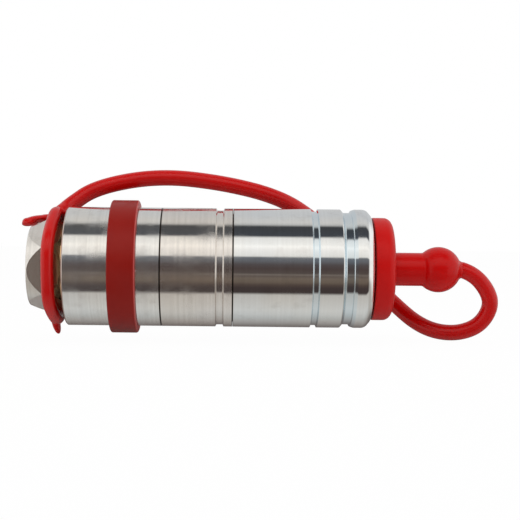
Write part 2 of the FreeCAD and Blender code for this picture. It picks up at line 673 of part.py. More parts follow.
def outer_shells():
    """Rear shell, middle shell and front sleeve, screwed into one outer sleeve."""
    turned("rear_shell", [
        ("rear_start", "rear_recess_radius"),
        ("rear_start", "shell_radius - edge_break"),
        ("rear_start + edge_break", "shell_radius"),
        ("band_start", "shell_radius"),
        ("band_start", "band_seat_radius"),
        ("band_end", "band_seat_radius"),
        ("band_end", "shell_radius"),
        ("rear_end - edge_break", "shell_radius"),
        ("rear_end", "shell_radius - edge_break"),
        ("rear_end", "nut_radius"),
        ("rear_screw_start - spring_end_gap", "nut_radius"),
        ("rear_screw_start - spring_end_gap", "spring_room_radius"),
        ("spring_start", "spring_room_radius"),
        ("spring_start", "slide_radius"),
        ("rear_guide_start", "slide_radius"),
        ("rear_guide_start", "rear_recess_radius"),
    ])
    turned("middle_shell", [
        ("rear_screw_start", "spring_room_radius"),
        ("rear_screw_start", "screw_radius"),
        ("rear_end", "screw_radius"),
        ("rear_end", "shell_radius - edge_break"),
        ("rear_end + edge_break", "shell_radius"),
        ("middle_groove_start", "shell_radius"),
        ("middle_groove_start + groove_slope", "shell_radius - middle_groove_depth"),
        ("middle_groove_end - groove_slope", "shell_radius - middle_groove_depth"),
        ("middle_groove_end", "shell_radius"),
        ("middle_end - edge_break", "shell_radius"),
        ("middle_end", "shell_radius - edge_break"),
        ("middle_end", "screw_radius"),
        ("front_screw_end", "screw_radius"),
        ("front_screw_end", "spring_room_radius"),
    ])
    rear_release = "land_start - release_width"
    front_release = "land_end + release_width"
    turned("front_sleeve", [
        ("middle_end", "nut_radius"),
        ("middle_end", "shell_radius - edge_break"),
        ("middle_end + edge_break", "shell_radius"),
        ("mark_groove_start", "shell_radius"),
        ("mark_groove_start + groove_slope", "shell_radius - mark_groove_depth"),
        ("mark_groove_end - groove_slope", "shell_radius - mark_groove_depth"),
        ("mark_groove_end", "shell_radius"),
        ("deep_groove_start", "shell_radius"),
        ("deep_groove_start", "shell_radius - front_groove_depth"),
        ("deep_groove_end", "shell_radius - front_groove_depth", "front_groove_round"),
        ("deep_groove_end", "shell_radius"),
        ("front_end", "shell_radius", "nose_round"),
        ("front_end", "slide_radius + mouth_chamfer"),
        ("front_end - mouth_chamfer", "slide_radius"),
        (front_release, "slide_radius"),
        (front_release + " - release_slope", "release_radius"),
        ("land_end + release_slope", "release_radius"),
        ("land_end", "slide_radius"),
        ("land_start", "slide_radius"),
        ("land_start - release_slope", "release_radius"),
        (rear_release + " + release_slope", "release_radius"),
        (rear_release, "slide_radius"),
        ("spring_end", "slide_radius"),
        ("spring_end", "nut_radius"),
    ])
    turned("colour_band", [
        ("band_start", "band_seat_radius"),
        ("band_start", "band_radius", "band_round"),
        ("band_end", "band_radius", "band_round"),
        ("band_end", "band_seat_radius"),
    ])


def plain_ring(label, start, width, inner, outer):
    return turned(label, [
        (start, inner),
        (start, outer),
        (f"{start} + {width}", outer),
        (f"{start} + {width}", inner),
    ])


def dust_plug():
    """Moulded plug: hollow nose, disc, stem, ball and the cord's root."""
    body = new_body("dust_plug")
    hollow = "nose_seal_radius - plug_wall"
    turn_profile(body, "plug_turning", [
        ("plug_nose_start", hollow),
        ("plug_nose_start", "nose_seal_radius", "plug_nose_round"),
        ("front_end", "nose_seal_radius"),
        ("front_end", "plug_disc_radius"),
        ("plug_disc_end", "plug_disc_radius", "plug_disc_round"),
        ("plug_disc_end", "pull_stem_radius"),
        ("pull_ball_place", "pull_stem_radius"),
        ("pull_ball_place", "0"),
        ("plug_disc_end - plug_floor", "0"),
        ("plug_disc_end - plug_floor", hollow),
    ])
    ball = body.newObject("PartDesign::AdditiveSphere", "pull_ball")
    ball.Radius = measure("pull_ball_radius")
    ball.setExpression("Radius", bound("pull_ball_radius"))
    ball.AttachmentSupport = [(origin_plane(body, "YZ_Plane"), "")]
    ball.MapMode = "FlatFace"
    ball.AttachmentOffset = FreeCAD.Placement(FreeCAD.Vector(0, 0, 1), FreeCAD.Rotation())
    ball.setExpression("AttachmentOffset.Base.z", bound("pull_ball_place"))
    turn_profile(body, "cord_root", [
        ("pull_ball_place", "0"),
        ("pull_ball_place", "root_radius"),
        ("root_end - root_taper", "root_radius"),
        ("root_end", "cord_radius"),
        ("root_end", "0"),
    ])
    return body


# Tether route from the plug's root to the ring, chosen by eye, in millimetres

TETHER = [
    (151.3, 0.0, 0.0),
    (155.7, 0.9, -6.0),
    (156.0, 2.2, -12.5),
    (152.6, 3.8, -18.6),
    (146.4, 6.0, -22.0),
    (139.2, 8.8, -21.9),
    (132.8, 12.4, -18.6),
    (126.3, 18.2, -12.4),
    (117.5, 24.2, -4.2),
    (108.0, 25.0, 6.6),
    (97.0, 17.8, 17.4),
    (84.5, 10.6, 24.6),
    (64.5, 8.0, 29.0),
    (42.0, 7.6, 30.8),
    (21.0, 9.6, 26.8),
    (11.0, 9.2, 21.6),
]


# Share of the shorter run that an arc takes at each end

ARC_SHARE = 0.45


def rounded_path(points, radii_out):
    """Straight runs joined by tangent arcs, each as large as its two runs allow."""
    edges = []
    last = points[0]
    for before, corner, after in zip(points, points[1:], points[2:]):
        back = (before - corner).normalize()
        ahead = (after - corner).normalize()
        half_turn = (math.pi - back.getAngle(ahead)) / 2
        cut = ARC_SHARE * min(before.distanceToPoint(corner), after.distanceToPoint(corner))
        radius = cut / math.tan(half_turn)
        radii_out.append(radius)
        start = corner + back * cut
        stop = corner + ahead * cut
        inward = (back + ahead).normalize()
        depth = radius / math.cos(half_turn) - radius
        edges.append(Part.LineSegment(last, start).toShape())
        edges.append(Part.Arc(start, corner + inward * depth, stop).toShape())
        last = stop
    edges.append(Part.LineSegment(last, points[-1]).toShape())
    return Part.Wire(edges)


def ring_frame():
    """Start and direction of the stub on the ring, where the cord ends."""
    start = FreeCAD.Vector(measure("ring_place"), measure("tab_side"), measure("tab_height"))
    last = FreeCAD.Vector(*TETHER[-1])
    return start, (last - start).normalize()


def tether_cord():
    """The cord, one tube of straight runs and tangent arcs."""
    start, away = ring_frame()
    root = FreeCAD.Vector(measure("root_end"), 0, 0)
    stub = start + away * measure("stub_length")
    points = [root] + [FreeCAD.Vector(*p) for p in TETHER] + [stub]
    radii = []
    path = rounded_path(points, radii)
    section = Part.Wire([Part.Circle(
        root, FreeCAD.Vector(1, 0, 0), measure("cord_radius")).toShape()])
    tube = path.makePipeShell([section], True, False)
    cord = doc.addObject("Part::Feature", "tether_cord")
    cord.Label = "tether_cord"
    cord.Shape = tube
    print("tether radii", [round(r, 1) for r in radii])
    expected = math.pi * measure("cord_radius") ** 2 * path.Length
    print("tether length", round(path.Length, 2), "volume share", round(tube.Volume / expected, 4))
    return cord


def add_lug(body, name, place, tilt, widths):
    """A rounded lug on the ring: its full widths along its own Z, X and Y."""
    lug = body.newObject("PartDesign::AdditiveEllipsoid", name)
    for radius, width in zip(("Radius1", "Radius2", "Radius3"), widths):
        lug.setExpression(radius, f"Sizes.{width} / 2")
    lug.Placement = FreeCAD.Placement(
        FreeCAD.Vector(0, 0, 0), FreeCAD.Rotation(FreeCAD.Vector(0, 1, 0), measure(tilt)))
    lug.setExpression("Placement.Rotation.Angle", bound(tilt))
    for axis, name_of_place in zip("xyz", place):
        lug.setExpression(f"Placement.Base.{axis}", bound(name_of_place))


def tether_ring():
    """Soft ring round the hexagon, with its pull tab, pip and the cord's stub."""
    body = new_body("tether_ring")
    path = new_sketch(body, "ring_path", "YZ_Plane")
    path.AttachmentOffset = FreeCAD.Placement(
        FreeCAD.Vector(0, 0, 1), FreeCAD.Rotation(FreeCAD.Vector(0, 0, 1), 1))
    path.setExpression("AttachmentOffset.Base.z", bound("ring_place"))
    path.setExpression("AttachmentOffset.Rotation.Angle", "Sizes.hex_turn")
    corner_circle = measure("hex_corner_radius")
    offset = measure("ring_offset")
    step = 2 * math.pi / HEX_SIDES
    for i in range(HEX_SIDES):
        turn = (i + 0.5) * step
        centre = FreeCAD.Vector(math.cos(turn), math.sin(turn), 0) * corner_circle
        circle = Part.Circle(centre, FreeCAD.Vector(0, 0, 1), offset)
        path.addGeometry(Part.ArcOfCircle(circle, turn - step / 2, turn + step / 2))
    for i in range(HEX_SIDES):
        here = path.Geometry[i].EndPoint
        there = path.Geometry[(i + 1) % HEX_SIDES].StartPoint
        path.addGeometry(Part.LineSegment(here, there))
    for i in range(HEX_SIDES):
        centre = path.Geometry[i].Center
        for kind, value, rule in (("DistanceX", centre.x, "cos"), ("DistanceY", centre.y, "sin")):
            number = path.addConstraint(Sketcher.Constraint(kind, i, 3, value))
            text = f"Places.hex_corner_radius * {rule}({(i + 0.5) * 360 / HEX_SIDES})"
            path.setExpression(f"Constraints[{number}]", text)
        number = path.addConstraint(Sketcher.Constraint("Radius", i, offset))
        path.setExpression(f"Constraints[{number}]", bound("ring_offset"))
        side = HEX_SIDES + i
        path.addConstraint(Sketcher.Constraint("Tangent", i, 2, side, 1))
        path.addConstraint(Sketcher.Constraint("Tangent", side, 2, (i + 1) % HEX_SIDES, 1))
    section = new_sketch(body, "ring_section", "XY_Plane")
    section.AttachmentOffset = FreeCAD.Placement(
        FreeCAD.Vector(0, 0, 0), FreeCAD.Rotation(FreeCAD.Vector(1, 0, 0), 1))
    section.setExpression("AttachmentOffset.Rotation.Angle", "Sizes.hex_turn")
    apothem = measure("hex_flats") / 2 + offset
    centre = FreeCAD.Vector(measure("ring_place"), apothem, 0)
    section.addGeometry(Part.Circle(centre, FreeCAD.Vector(0, 0, 1), measure("ring_wire")))
    rules = [
        (Sketcher.Constraint("DistanceX", 0, 3, centre.x), bound("ring_place")),
        (Sketcher.Constraint("DistanceY", 0, 3, centre.y), "Sizes.hex_flats / 2 + Places.ring_offset"),
        (Sketcher.Constraint("Radius", 0, measure("ring_wire")), bound("ring_wire")),
    ]
    for rule, text in rules:
        number = section.addConstraint(rule)
        section.setExpression(f"Constraints[{number}]", text)
    pipe = body.newObject("PartDesign::AdditivePipe", "ring_tube")
    pipe.Profile = section
    pipe.Spine = path
    path.Visibility = False
    section.Visibility = False
    start, away = ring_frame()
    add_lug(body, "pull_tab", ("tab_place", "tab_side", "tab_height"), "tab_tilt",
            ("tab_thickness", "tab_length", "tab_width"))
    add_lug(body, "pip", ("pip_place", "pip_side", "pip_height"), "pip_tilt",
            ("pip_length", "pip_width", "pip_width"))
    stub = body.newObject("PartDesign::AdditiveCylinder", "cord_stub")
    stub.Placement = FreeCAD.Placement(start, FreeCAD.Rotation(FreeCAD.Vector(0, 0, 1), away))
    stub.setExpression("Radius", bound("cord_radius"))
    stub.setExpression("Height", bound("stub_length"))
    return body


def build_parts():
    hexagon_adapter()
    torus("adapter_o_ring", "adapter_seal_place", "adapter_seal_circle", "static_seal_wire")
    ball_carrier()
    ball_row()
    poppet_guide()
    poppet_and_seal()
    coil("poppet_spring", "guide_seat", "head_start", "poppet_coil_radius", "poppet_wire",
         "poppet_turns")
    torus("tip_seal", "tip_seal_place", "tip_seal_circle", "tip_seal_wire")
    plain_ring("tip_backup_ring", "gland_start", "backup_ring_width",
               "tip_bore_radius + seal_gap", "gland_floor - seal_gap")
    plain_ring("spring_stop_ring", "stop_start", "stop_ring_width",
               "slide_radius", "stop_ring_radius")
    snap_ring("rear_snap_ring", "stop_start - snap_ring_width")
    snap_ring("front_snap_ring", "stop_end")
    outer_shells()
    plain_ring("rear_spring_washer", "spring_start", "washer_width",
               "body_radius + washer_bore_gap", "spring_room_radius - washer_rim_gap")
    plain_ring("front_spring_washer", "spring_end - washer_width", "washer_width",
               "body_radius + washer_bore_gap", "spring_room_radius - washer_rim_gap")
    coil("rear_centring_spring", "spring_start + washer_width", "stop_start",
         "centring_coil_radius", "centring_wire", "centring_turns")
    coil("front_centring_spring", "stop_end", "spring_end - washer_width",
         "centring_coil_radius", "centring_wire", "centring_turns")
    dust_plug()
    tether_ring()
    tether_cord()


build_parts()
doc.recompute()

NODES = [
    "hex_adapter", "adapter_o_ring", "inner_body", "locking_balls", "poppet_guide",
    "poppet", "poppet_seal", "poppet_spring", "tip_seal", "tip_backup_ring",
    "spring_stop_ring", "rear_snap_ring", "front_snap_ring", "rear_shell", "middle_shell",
    "front_sleeve", "colour_band", "rear_spring_washer", "front_spring_washer",
    "rear_centring_spring", "front_centring_spring", "dust_plug", "tether_ring", "tether_cord",
]

problems = []
for thing in doc.Objects:
    if "Invalid" in thing.State or "Error" in thing.State:
        problems.append(f"{thing.Name} is {thing.State}")
for label in NODES:
    shape = doc.getObjectsByLabel(label)[0].Shape
    if shape.isNull() or not shape.isValid():
        problems.append(f"{label} has no valid shape")
if problems:
    raise RuntimeError("; ".join(problems))

os.makedirs("parts", exist_ok=True)
for label in NODES:
    shape = doc.getObjectsByLabel(label)[0].Shape
    shape.exportStep(f"parts/{label}.step")
    print(label, len(shape.Solids), "solids", round(shape.Volume, 1), "mm3")
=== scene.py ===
# %% [markdown]
# A push-pull hydraulic coupler, dressed for a studio picture. The frame holds its turned
# steel pieces at their real size. Everything could be modelled anew in Blender, but the
# pieces of a coupler have to fit each other closely. So this lesson keeps the frame as it is
# and adds what a lathe drawing leaves out: soft edges, the zinc plate, the red tether and
# plug, the screw thread in the hose port, and the light.

# %% Load the frame
import math

import bmesh
import bpy
from mathutils import Matrix, Vector


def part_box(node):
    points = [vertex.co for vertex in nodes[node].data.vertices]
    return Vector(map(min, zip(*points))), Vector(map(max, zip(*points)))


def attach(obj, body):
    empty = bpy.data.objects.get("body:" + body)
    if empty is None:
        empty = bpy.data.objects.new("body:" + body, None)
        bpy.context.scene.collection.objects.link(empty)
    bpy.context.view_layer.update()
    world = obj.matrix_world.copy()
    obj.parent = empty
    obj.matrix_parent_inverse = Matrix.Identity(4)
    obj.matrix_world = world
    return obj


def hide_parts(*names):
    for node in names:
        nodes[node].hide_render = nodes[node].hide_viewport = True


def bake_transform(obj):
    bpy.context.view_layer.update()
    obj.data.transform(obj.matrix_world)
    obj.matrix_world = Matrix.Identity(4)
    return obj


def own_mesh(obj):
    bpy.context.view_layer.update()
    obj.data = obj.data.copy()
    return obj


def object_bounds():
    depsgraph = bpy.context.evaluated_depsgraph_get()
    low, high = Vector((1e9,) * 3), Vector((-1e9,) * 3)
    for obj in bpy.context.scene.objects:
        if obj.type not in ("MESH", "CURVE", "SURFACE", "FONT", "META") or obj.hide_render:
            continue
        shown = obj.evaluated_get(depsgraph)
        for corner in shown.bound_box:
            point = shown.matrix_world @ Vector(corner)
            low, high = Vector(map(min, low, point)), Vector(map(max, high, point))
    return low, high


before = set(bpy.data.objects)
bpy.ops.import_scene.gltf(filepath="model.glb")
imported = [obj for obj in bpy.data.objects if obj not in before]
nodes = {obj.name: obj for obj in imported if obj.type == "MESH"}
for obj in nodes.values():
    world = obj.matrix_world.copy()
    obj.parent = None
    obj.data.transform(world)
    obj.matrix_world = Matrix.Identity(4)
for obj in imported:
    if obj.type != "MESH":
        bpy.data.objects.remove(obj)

MM = 0.001
cad_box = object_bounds()
print("frame", [round(v, 4) for v in (*cad_box[0], *cad_box[1])])


# %% [markdown]
# The picture is taken level with the coupler's axis, a little to the right of its middle. A
# camera can be set by eye, or from what the picture shows. Neither end face shows in it, so
# the lens axis meets the coupler between them. The lens is then shifted to frame the
# coupler, because turning the camera would slant both ends.

# %% Camera
CAMERA_DISTANCE = 407 * MM
CAMERA_FOOT = 67.8 * MM
CAMERA_RISE = math.radians(1.5)
CAMERA_ROLL = math.radians(-0.6)
FIELD_OF_VIEW = math.radians(24.43)
SHIFT_ACROSS, SHIFT_UP = 0.0534, 0.0144

camera_data = bpy.data.cameras.new("studio_camera")
camera_data.angle = FIELD_OF_VIEW
camera_data.shift_x = SHIFT_ACROSS
camera_data.shift_y = SHIFT_UP
camera = bpy.data.objects.new("studio_camera", camera_data)
camera.location = (
    CAMERA_FOOT,
    -CAMERA_DISTANCE * math.cos(CAMERA_RISE),
    CAMERA_DISTANCE * math.sin(CAMERA_RISE))
camera.rotation_euler = (math.pi / 2 - CAMERA_RISE, CAMERA_ROLL, 0)
bpy.context.scene.collection.objects.link(camera)
bpy.context.scene.camera = camera
bpy.context.scene.view_settings.view_transform = "Standard"
print("camera", round(CAMERA_DISTANCE / MM), "mm from the axis")


# %% [markdown]
# Bright turned steel shows its surroundings as long stripes, so a studio is chosen for what
# it puts into those stripes. Panels could be set up round the coupler and moved until their
# reflections fall right. One sky whose colour changes with the angle round the coupler's
# axis does the same with one row of numbers: 0 is level with the lens, 90 straight up. It
# has a softbox in front and above, a dark room level with the lens, a pale ground and a pale
# backdrop. Past both ends of the axis the surroundings are pale.

# %% Sky stripes
SKY_STRIPES = [
    (-180, (0.11, 0.09, 0.09)),
    (-148, (0.22, 0.20, 0.19)),
    (-125, (0.40, 0.385, 0.37)),
    (-112, (0.48, 0.49, 0.48)),
    (-100, (0.58, 0.59, 0.58)),
    (-88, (0.63, 0.635, 0.62)),
    (-70, (0.59, 0.58, 0.555)),
    (-52, (0.54, 0.52, 0.49)),
    (-47, (0.055, 0.042, 0.040)),
    (-37, (0.058, 0.043, 0.041)),
    (-31, (0.090, 0.066, 0.056)),
    (-26, (0.145, 0.112, 0.088)),
    (-19, (0.168, 0.132, 0.106)),
    (-14, (0.125, 0.098, 0.086)),
    (-11.5, (0.19, 0.16, 0.14)),
    (-9, (0.095, 0.075, 0.068)),
    (0, (0.078, 0.058, 0.055)),
    (8, (0.090, 0.077, 0.079)),
    (15, (0.135, 0.140, 0.155)),
    (21, (0.160, 0.170, 0.190)),
    (24, (0.84, 0.83, 0.80)),
    (36, (0.96, 0.94, 0.91)),
    (43, (1.10, 1.08, 1.04)),
    (48, (0.98, 0.97, 0.94)),
    (61, (0.86, 0.85, 0.83)),
    (65.5, (0.058, 0.065, 0.078)),
    (88, (0.052, 0.055, 0.060)),
    (94, (0.55, 0.55, 0.54)),
    (100, (0.66, 0.65, 0.63)),
    (125, (0.60, 0.61, 0.62)),
    (180, (0.60, 0.61, 0.62)),
]
HALF_TURN, FULL_TURN = 180, 360
END_LIGHT = (1.02, 1.02, 1.01)
END_SHADE = (0.46, 0.44, 0.41)
END_FROM, END_FULL = 0.50, 0.76
SHADE_FROM, SHADE_FULL = -0.10, -0.45
PAPER_WHITE = (1, 1, 1, 1)
print(len(SKY_STRIPES), "stripes in the sky")


# %% [markdown]
# A sky or a finish is a tree of small nodes. Each could be added and wired by hand, but the
# same few moves come back all the time. So each move gets a short helper: a link, one sum,
# a smooth step, and two colours mixed by a value.

# %% Node helpers
def link(tree, source, target):
    tree.links.new(source, target)


def math_node(tree, kind, first, second=None):
    """One Math node; an input is a number or another node's output."""
    made = tree.nodes.new("ShaderNodeMath")
    made.operation = kind
    for slot, value in enumerate((first, second)):
        if isinstance(value, (int, float)):
            made.inputs[slot].default_value = value
        elif value is not None:
            link(tree, value, made.inputs[slot])
    return made.outputs[0]


def ease(tree, value, start, full):
    """0 before start, 1 past full, and a smooth step between them."""
    step = tree.nodes.new("ShaderNodeMapRange")
    step.interpolation_type = "SMOOTHSTEP"
    step.inputs["From Min"].default_value = start
    step.inputs["From Max"].default_value = full
    link(tree, value, step.inputs["Value"])
    return step.outputs[0]


def tint(tree, value, first, second):
    """Two colours mixed by a value; each is a colour or another node's output."""
    mix = tree.nodes.new("ShaderNodeMix")
    mix.data_type = "RGBA"
    link(tree, value, mix.inputs["Factor"])
    for slot, colour in (("A", first), ("B", second)):
        if isinstance(colour, tuple):
            mix.inputs[slot].default_value = (*colour, 1)
        else:
            link(tree, colour, mix.inputs[slot])
    return mix.outputs["Result"]


# %% [markdown]
# In the studio the coupler lies in front of white paper, but the steel shows the room and
# not the paper. One world can do both: a light path node tells rays that come straight from
# the lens from all others, so the lens sees white where the steel sees the stripes.

# %% Studio sky
def stripe_ramp(tree, share):
    """The stripes as one colour ramp, read from 0 to 1 on a turn round the axis."""
    ramp = tree.nodes.new("ShaderNodeValToRGB")
    link(tree, share, ramp.inputs[0])
    stops = ramp.color_ramp.elements
    while len(stops) < len(SKY_STRIPES):
        stops.new(0.5)
    for stop, (angle, colour) in zip(stops, SKY_STRIPES):
        stop.position = (angle + HALF_TURN) / FULL_TURN
        stop.color = (*colour, 1)
    return ramp.outputs["Color"]


def studio_sky():
    """World light by the angle round the coupler's axis, white behind the picture."""
    world = bpy.data.worlds.new("studio")
    bpy.context.scene.world = world
    world.use_nodes = True
    tree = world.node_tree
    tree.nodes.clear()
    way = tree.nodes.new("ShaderNodeTexCoord").outputs["Generated"]
    parts = tree.nodes.new("ShaderNodeSeparateXYZ")
    link(tree, way, parts.inputs[0])
    towards_lens = math_node(tree, "MULTIPLY", parts.outputs["Y"], -1)
    turn = math_node(tree, "ARCTAN2", parts.outputs["Z"], towards_lens)
    share = math_node(tree, "ADD", math_node(tree, "DIVIDE", turn, 2 * math.pi), 0.5)
    stripes = stripe_ramp(tree, share)
    off_middle = math_node(tree, "ABSOLUTE", parts.outputs["X"])
    at_end = ease(tree, off_middle, END_FROM, END_FULL)
    below = ease(tree, parts.outputs["Z"], SHADE_FULL, SHADE_FROM)
    ends = tint(tree, below, END_SHADE, END_LIGHT)
    sky = tree.nodes.new("ShaderNodeBackground")
    link(tree, tint(tree, at_end, stripes, ends), sky.inputs["Color"])
    paper = tree.nodes.new("ShaderNodeBackground")
    paper.inputs["Color"].default_value = PAPER_WHITE
    seen = tree.nodes.new("ShaderNodeLightPath")
    choose = tree.nodes.new("ShaderNodeMixShader")
    link(tree, seen.outputs["Is Camera Ray"], choose.inputs["Fac"])
    link(tree, sky.outputs[0], choose.inputs[1])
    link(tree, paper.outputs[0], choose.inputs[2])
    out = tree.nodes.new("ShaderNodeOutputWorld")
    link(tree, choose.outputs[0], out.inputs["Surface"])
    print("sky", len(tree.nodes), "nodes")


studio_sky()


# %% [markdown]
# The sky lights the steel, and the soft red pieces need a lamp of their own to look round. A
# small lamp would draw a hard shadow, so this is one large soft lamp above and in front. It
# is hidden from reflections, because the stripes already hold the softbox.

# %% Lamp
LAMP_SIZE = 0.7
LAMP_PLACE = Vector((0.05, -0.34, 0.84))
LAMP_POWER = 3.5

lamp_data = bpy.data.lights.new("softbox", "AREA")
lamp_data.shape = "SQUARE"
lamp_data.size = LAMP_SIZE
lamp_data.energy = LAMP_POWER
lamp = bpy.data.objects.new("softbox", lamp_data)
lamp.location = LAMP_PLACE
lamp_way = Vector((CAMERA_FOOT, 0, 0)) - LAMP_PLACE
lamp.rotation_euler = lamp_way.to_track_quat("-Z", "Y").to_euler()
lamp.visible_glossy = False
bpy.context.scene.collection.objects.link(lamp)
print("lamp", round(lamp_way.length, 2), "m away")


# %% [markdown]
# The floor is pale paper just under the lowest loop of the tether. A plain white sheet would
# render grey in places, and a glowing one would lose the shadow. So the sheet mixes both for
# the lens: nearly all glow, with enough of the paper left for a faint shadow.

# %% Floor
FLOOR_SIZE = 6.0
FLOOR_DROP = 0.5
PAPER_GLOW = 0.975
PAPER_GREY = (0.82, 0.82, 0.82, 1)
PAPER_ROUGHNESS = 0.9


def paper_material():
    paper = bpy.data.materials.new("floor_paper")
    paper.use_nodes = True
    tree = paper.node_tree
    surface = tree.nodes["Principled BSDF"]
    surface.inputs["Base Color"].default_value = PAPER_GREY
    surface.inputs["Roughness"].default_value = PAPER_ROUGHNESS
    glow = tree.nodes.new("ShaderNodeEmission")
    seen = tree.nodes.new("ShaderNodeLightPath")
    choose = tree.nodes.new("ShaderNodeMixShader")
    share = math_node(tree, "MULTIPLY", seen.outputs["Is Camera Ray"], PAPER_GLOW)
    link(tree, share, choose.inputs["Fac"])
    link(tree, surface.outputs[0], choose.inputs[1])
    link(tree, glow.outputs[0], choose.inputs[2])
    link(tree, choose.outputs[0], tree.nodes["Material Output"].inputs["Surface"])
    return paper


def paper_floor():
    height = cad_box[0].z - FLOOR_DROP * MM
    sheet = bmesh.new()
    bmesh.ops.create_grid(sheet, x_segments=1, y_segments=1, size=FLOOR_SIZE / 2)
    bmesh.ops.translate(sheet, verts=sheet.verts[:], vec=(CAMERA_FOOT, 0, height))
    mesh = bpy.data.meshes.new("floor")
    sheet.to_mesh(mesh)
    sheet.free()
    floor = bpy.data.objects.new("floor", mesh)
    bpy.context.scene.collection.objects.link(floor)
    floor.visible_glossy = False
    mesh.materials.append(paper_material())
    print("floor at", round(height / MM, 1), "mm")


paper_floor()


# %% [markdown]
# No real surface has one even colour and shine. A picture could be wrapped round each piece,
# but these finishes are made from noise instead: it has no seam, and it is as fine as the
# lens can see. Every finish starts from the same few moves: a noise read in the piece's own
# space, a range that turns it into a share, a zone along the axis, and a bump.

# %% Finish helpers
NOISE_LOW, NOISE_HIGH = 0.3, 0.7


def finish(name, colour, roughness, metallic=0.0, specular=0.5):
    made = bpy.data.materials.new(name)
    made.use_nodes = True
    surface = made.node_tree.nodes["Principled BSDF"]
    surface.inputs["Base Color"].default_value = (*colour, 1)
    surface.inputs["Roughness"].default_value = roughness
    surface.inputs["Metallic"].default_value = metallic
    surface.inputs["Specular IOR Level"].default_value = specular
    print("finish", name)
    return made, made.node_tree, surface


def noise(tree, scale, stretch=(1, 1, 1), detail=3.0):
    """Noise in the piece's own space; a larger stretch makes it finer along that axis."""
    place = tree.nodes.new("ShaderNodeTexCoord").outputs["Object"]
    mapping = tree.nodes.new("ShaderNodeMapping")
    mapping.inputs["Scale"].default_value = stretch
    grain = tree.nodes.new("ShaderNodeTexNoise")
    grain.inputs["Scale"].default_value = scale
    grain.inputs["Detail"].default_value = detail
    link(tree, place, mapping.inputs["Vector"])
    link(tree, mapping.outputs[0], grain.inputs["Vector"])
    return grain.outputs["Fac"]


def spread(tree, value, low, high, from_low=NOISE_LOW, from_high=NOISE_HIGH):
    """A value moved to a range of its own, from the range that a noise mostly stays in."""
    made = tree.nodes.new("ShaderNodeMapRange")
    made.inputs["From Min"].default_value = from_low
    made.inputs["From Max"].default_value = from_high
    made.inputs["To Min"].default_value = low
    made.inputs["To Max"].default_value = high
    link(tree, value, made.inputs["Value"])
    return made.outputs[0]


def along_axis(tree):
    """The place along the coupler's axis, in metres."""
    parts = tree.nodes.new("ShaderNodeSeparateXYZ")
    link(tree, tree.nodes.new("ShaderNodeTexCoord").outputs["Object"], parts.inputs[0])
    return parts.outputs["X"]


def zone(tree, start, end, fade):
    """1 between two places along the axis, fading out on each side, in millimetres."""
    middle, half = (start + end) / 2, (end - start) / 2
    off = math_node(tree, "ABSOLUTE", math_node(tree, "SUBTRACT", along_axis(tree), middle * MM))
    return spread(tree, off, 1.0, 0.0, half * MM, (half + fade) * MM)


def add_bump(tree, surface, height, strength, depth):
    """A bump of some depth in millimetres."""
    bump = tree.nodes.new("ShaderNodeBump")
    bump.inputs["Strength"].default_value = strength
    bump.inputs["Distance"].default_value = depth * MM
    link(tree, height, bump.inputs["Height"])
    link(tree, bump.outputs[0], surface.inputs["Normal"])


# %% [markdown]
# Bright zinc plate is a thin silvery skin over turned steel. One grey metal for every shell
# would look like a drawing, so each shell gets its own make of the same recipe. Noise that
# is fine along the axis and long round it streaks the steel, as a lathe tool does. Broad
# noise shifts the colour between cool and warm, and cloudy noise makes the plate sharp in
# some places and duller where hands and time have worn it. Haze makes a piece a little less
# metallic, as a film on the plate does. Grooves are tinged, a rim can carry a painted
# reflection, and a joint has a dark seam.

# %% Zinc plate recipe
TURNING = (1.0, 0.012, 0.012)
COLOUR_CLOUDS = {"scale": 48}
LATHE_STREAKS = {"scale": 1100, "stretch": TURNING, "detail": 4.0}
STAIN_SPOTS = {"scale": 230, "detail": 6.0}
SHINE_CLOUDS = {"scale": 110, "stretch": (1, 1.5, 1.5), "detail": 7.0}
HAND_SPECKS = {"scale": 7000, "detail": 2.0}
LATHE_MARKS = {"scale": 4200, "stretch": TURNING, "detail": 2.0}
STAIN = (0.46, 0.42, 0.39)
STAIN_SHARE, STAIN_FROM, STAIN_FULL = 0.22, 0.55, 0.75
CLOUDS_FROM, CLOUDS_FULL = 0.44, 0.66
SPECK_LOW = 0.85
LATHE_MARK_DEPTH = 0.01
BLUE = (0.74, 0.83, 0.88)
GOLD = (0.78, 0.46, 0.16)
# Brown painted reflection, laid on the rear shell's rim.
REFLECTION_BROWN = (0.44, 0.30, 0.24)
TINGE_AND_REFLECTION_SHARE, TINGE_AND_REFLECTION_FADE = 0.75, 0.2
SEAM = (0.055, 0.042, 0.034)
SEAM_REACH, SEAM_FADE = 0.21, 0.10


def zinc_colour(tree, cool, warm, streak):
    """Cool and warm clouds, streaked by the lathe and spotted by stains."""
    colour = tint(tree, spread(tree, noise(tree, **COLOUR_CLOUDS), 0.0, 1.0), cool, warm)
    streaks = spread(tree, noise(tree, **LATHE_STREAKS), 0.0, streak)
    colour = tint(tree, streaks, colour, STAIN)
    spots = noise(tree, **STAIN_SPOTS)
    stains = spread(tree, spots, 0.0, STAIN_SHARE, STAIN_FROM, STAIN_FULL)
    return tint(tree, stains, colour, STAIN)


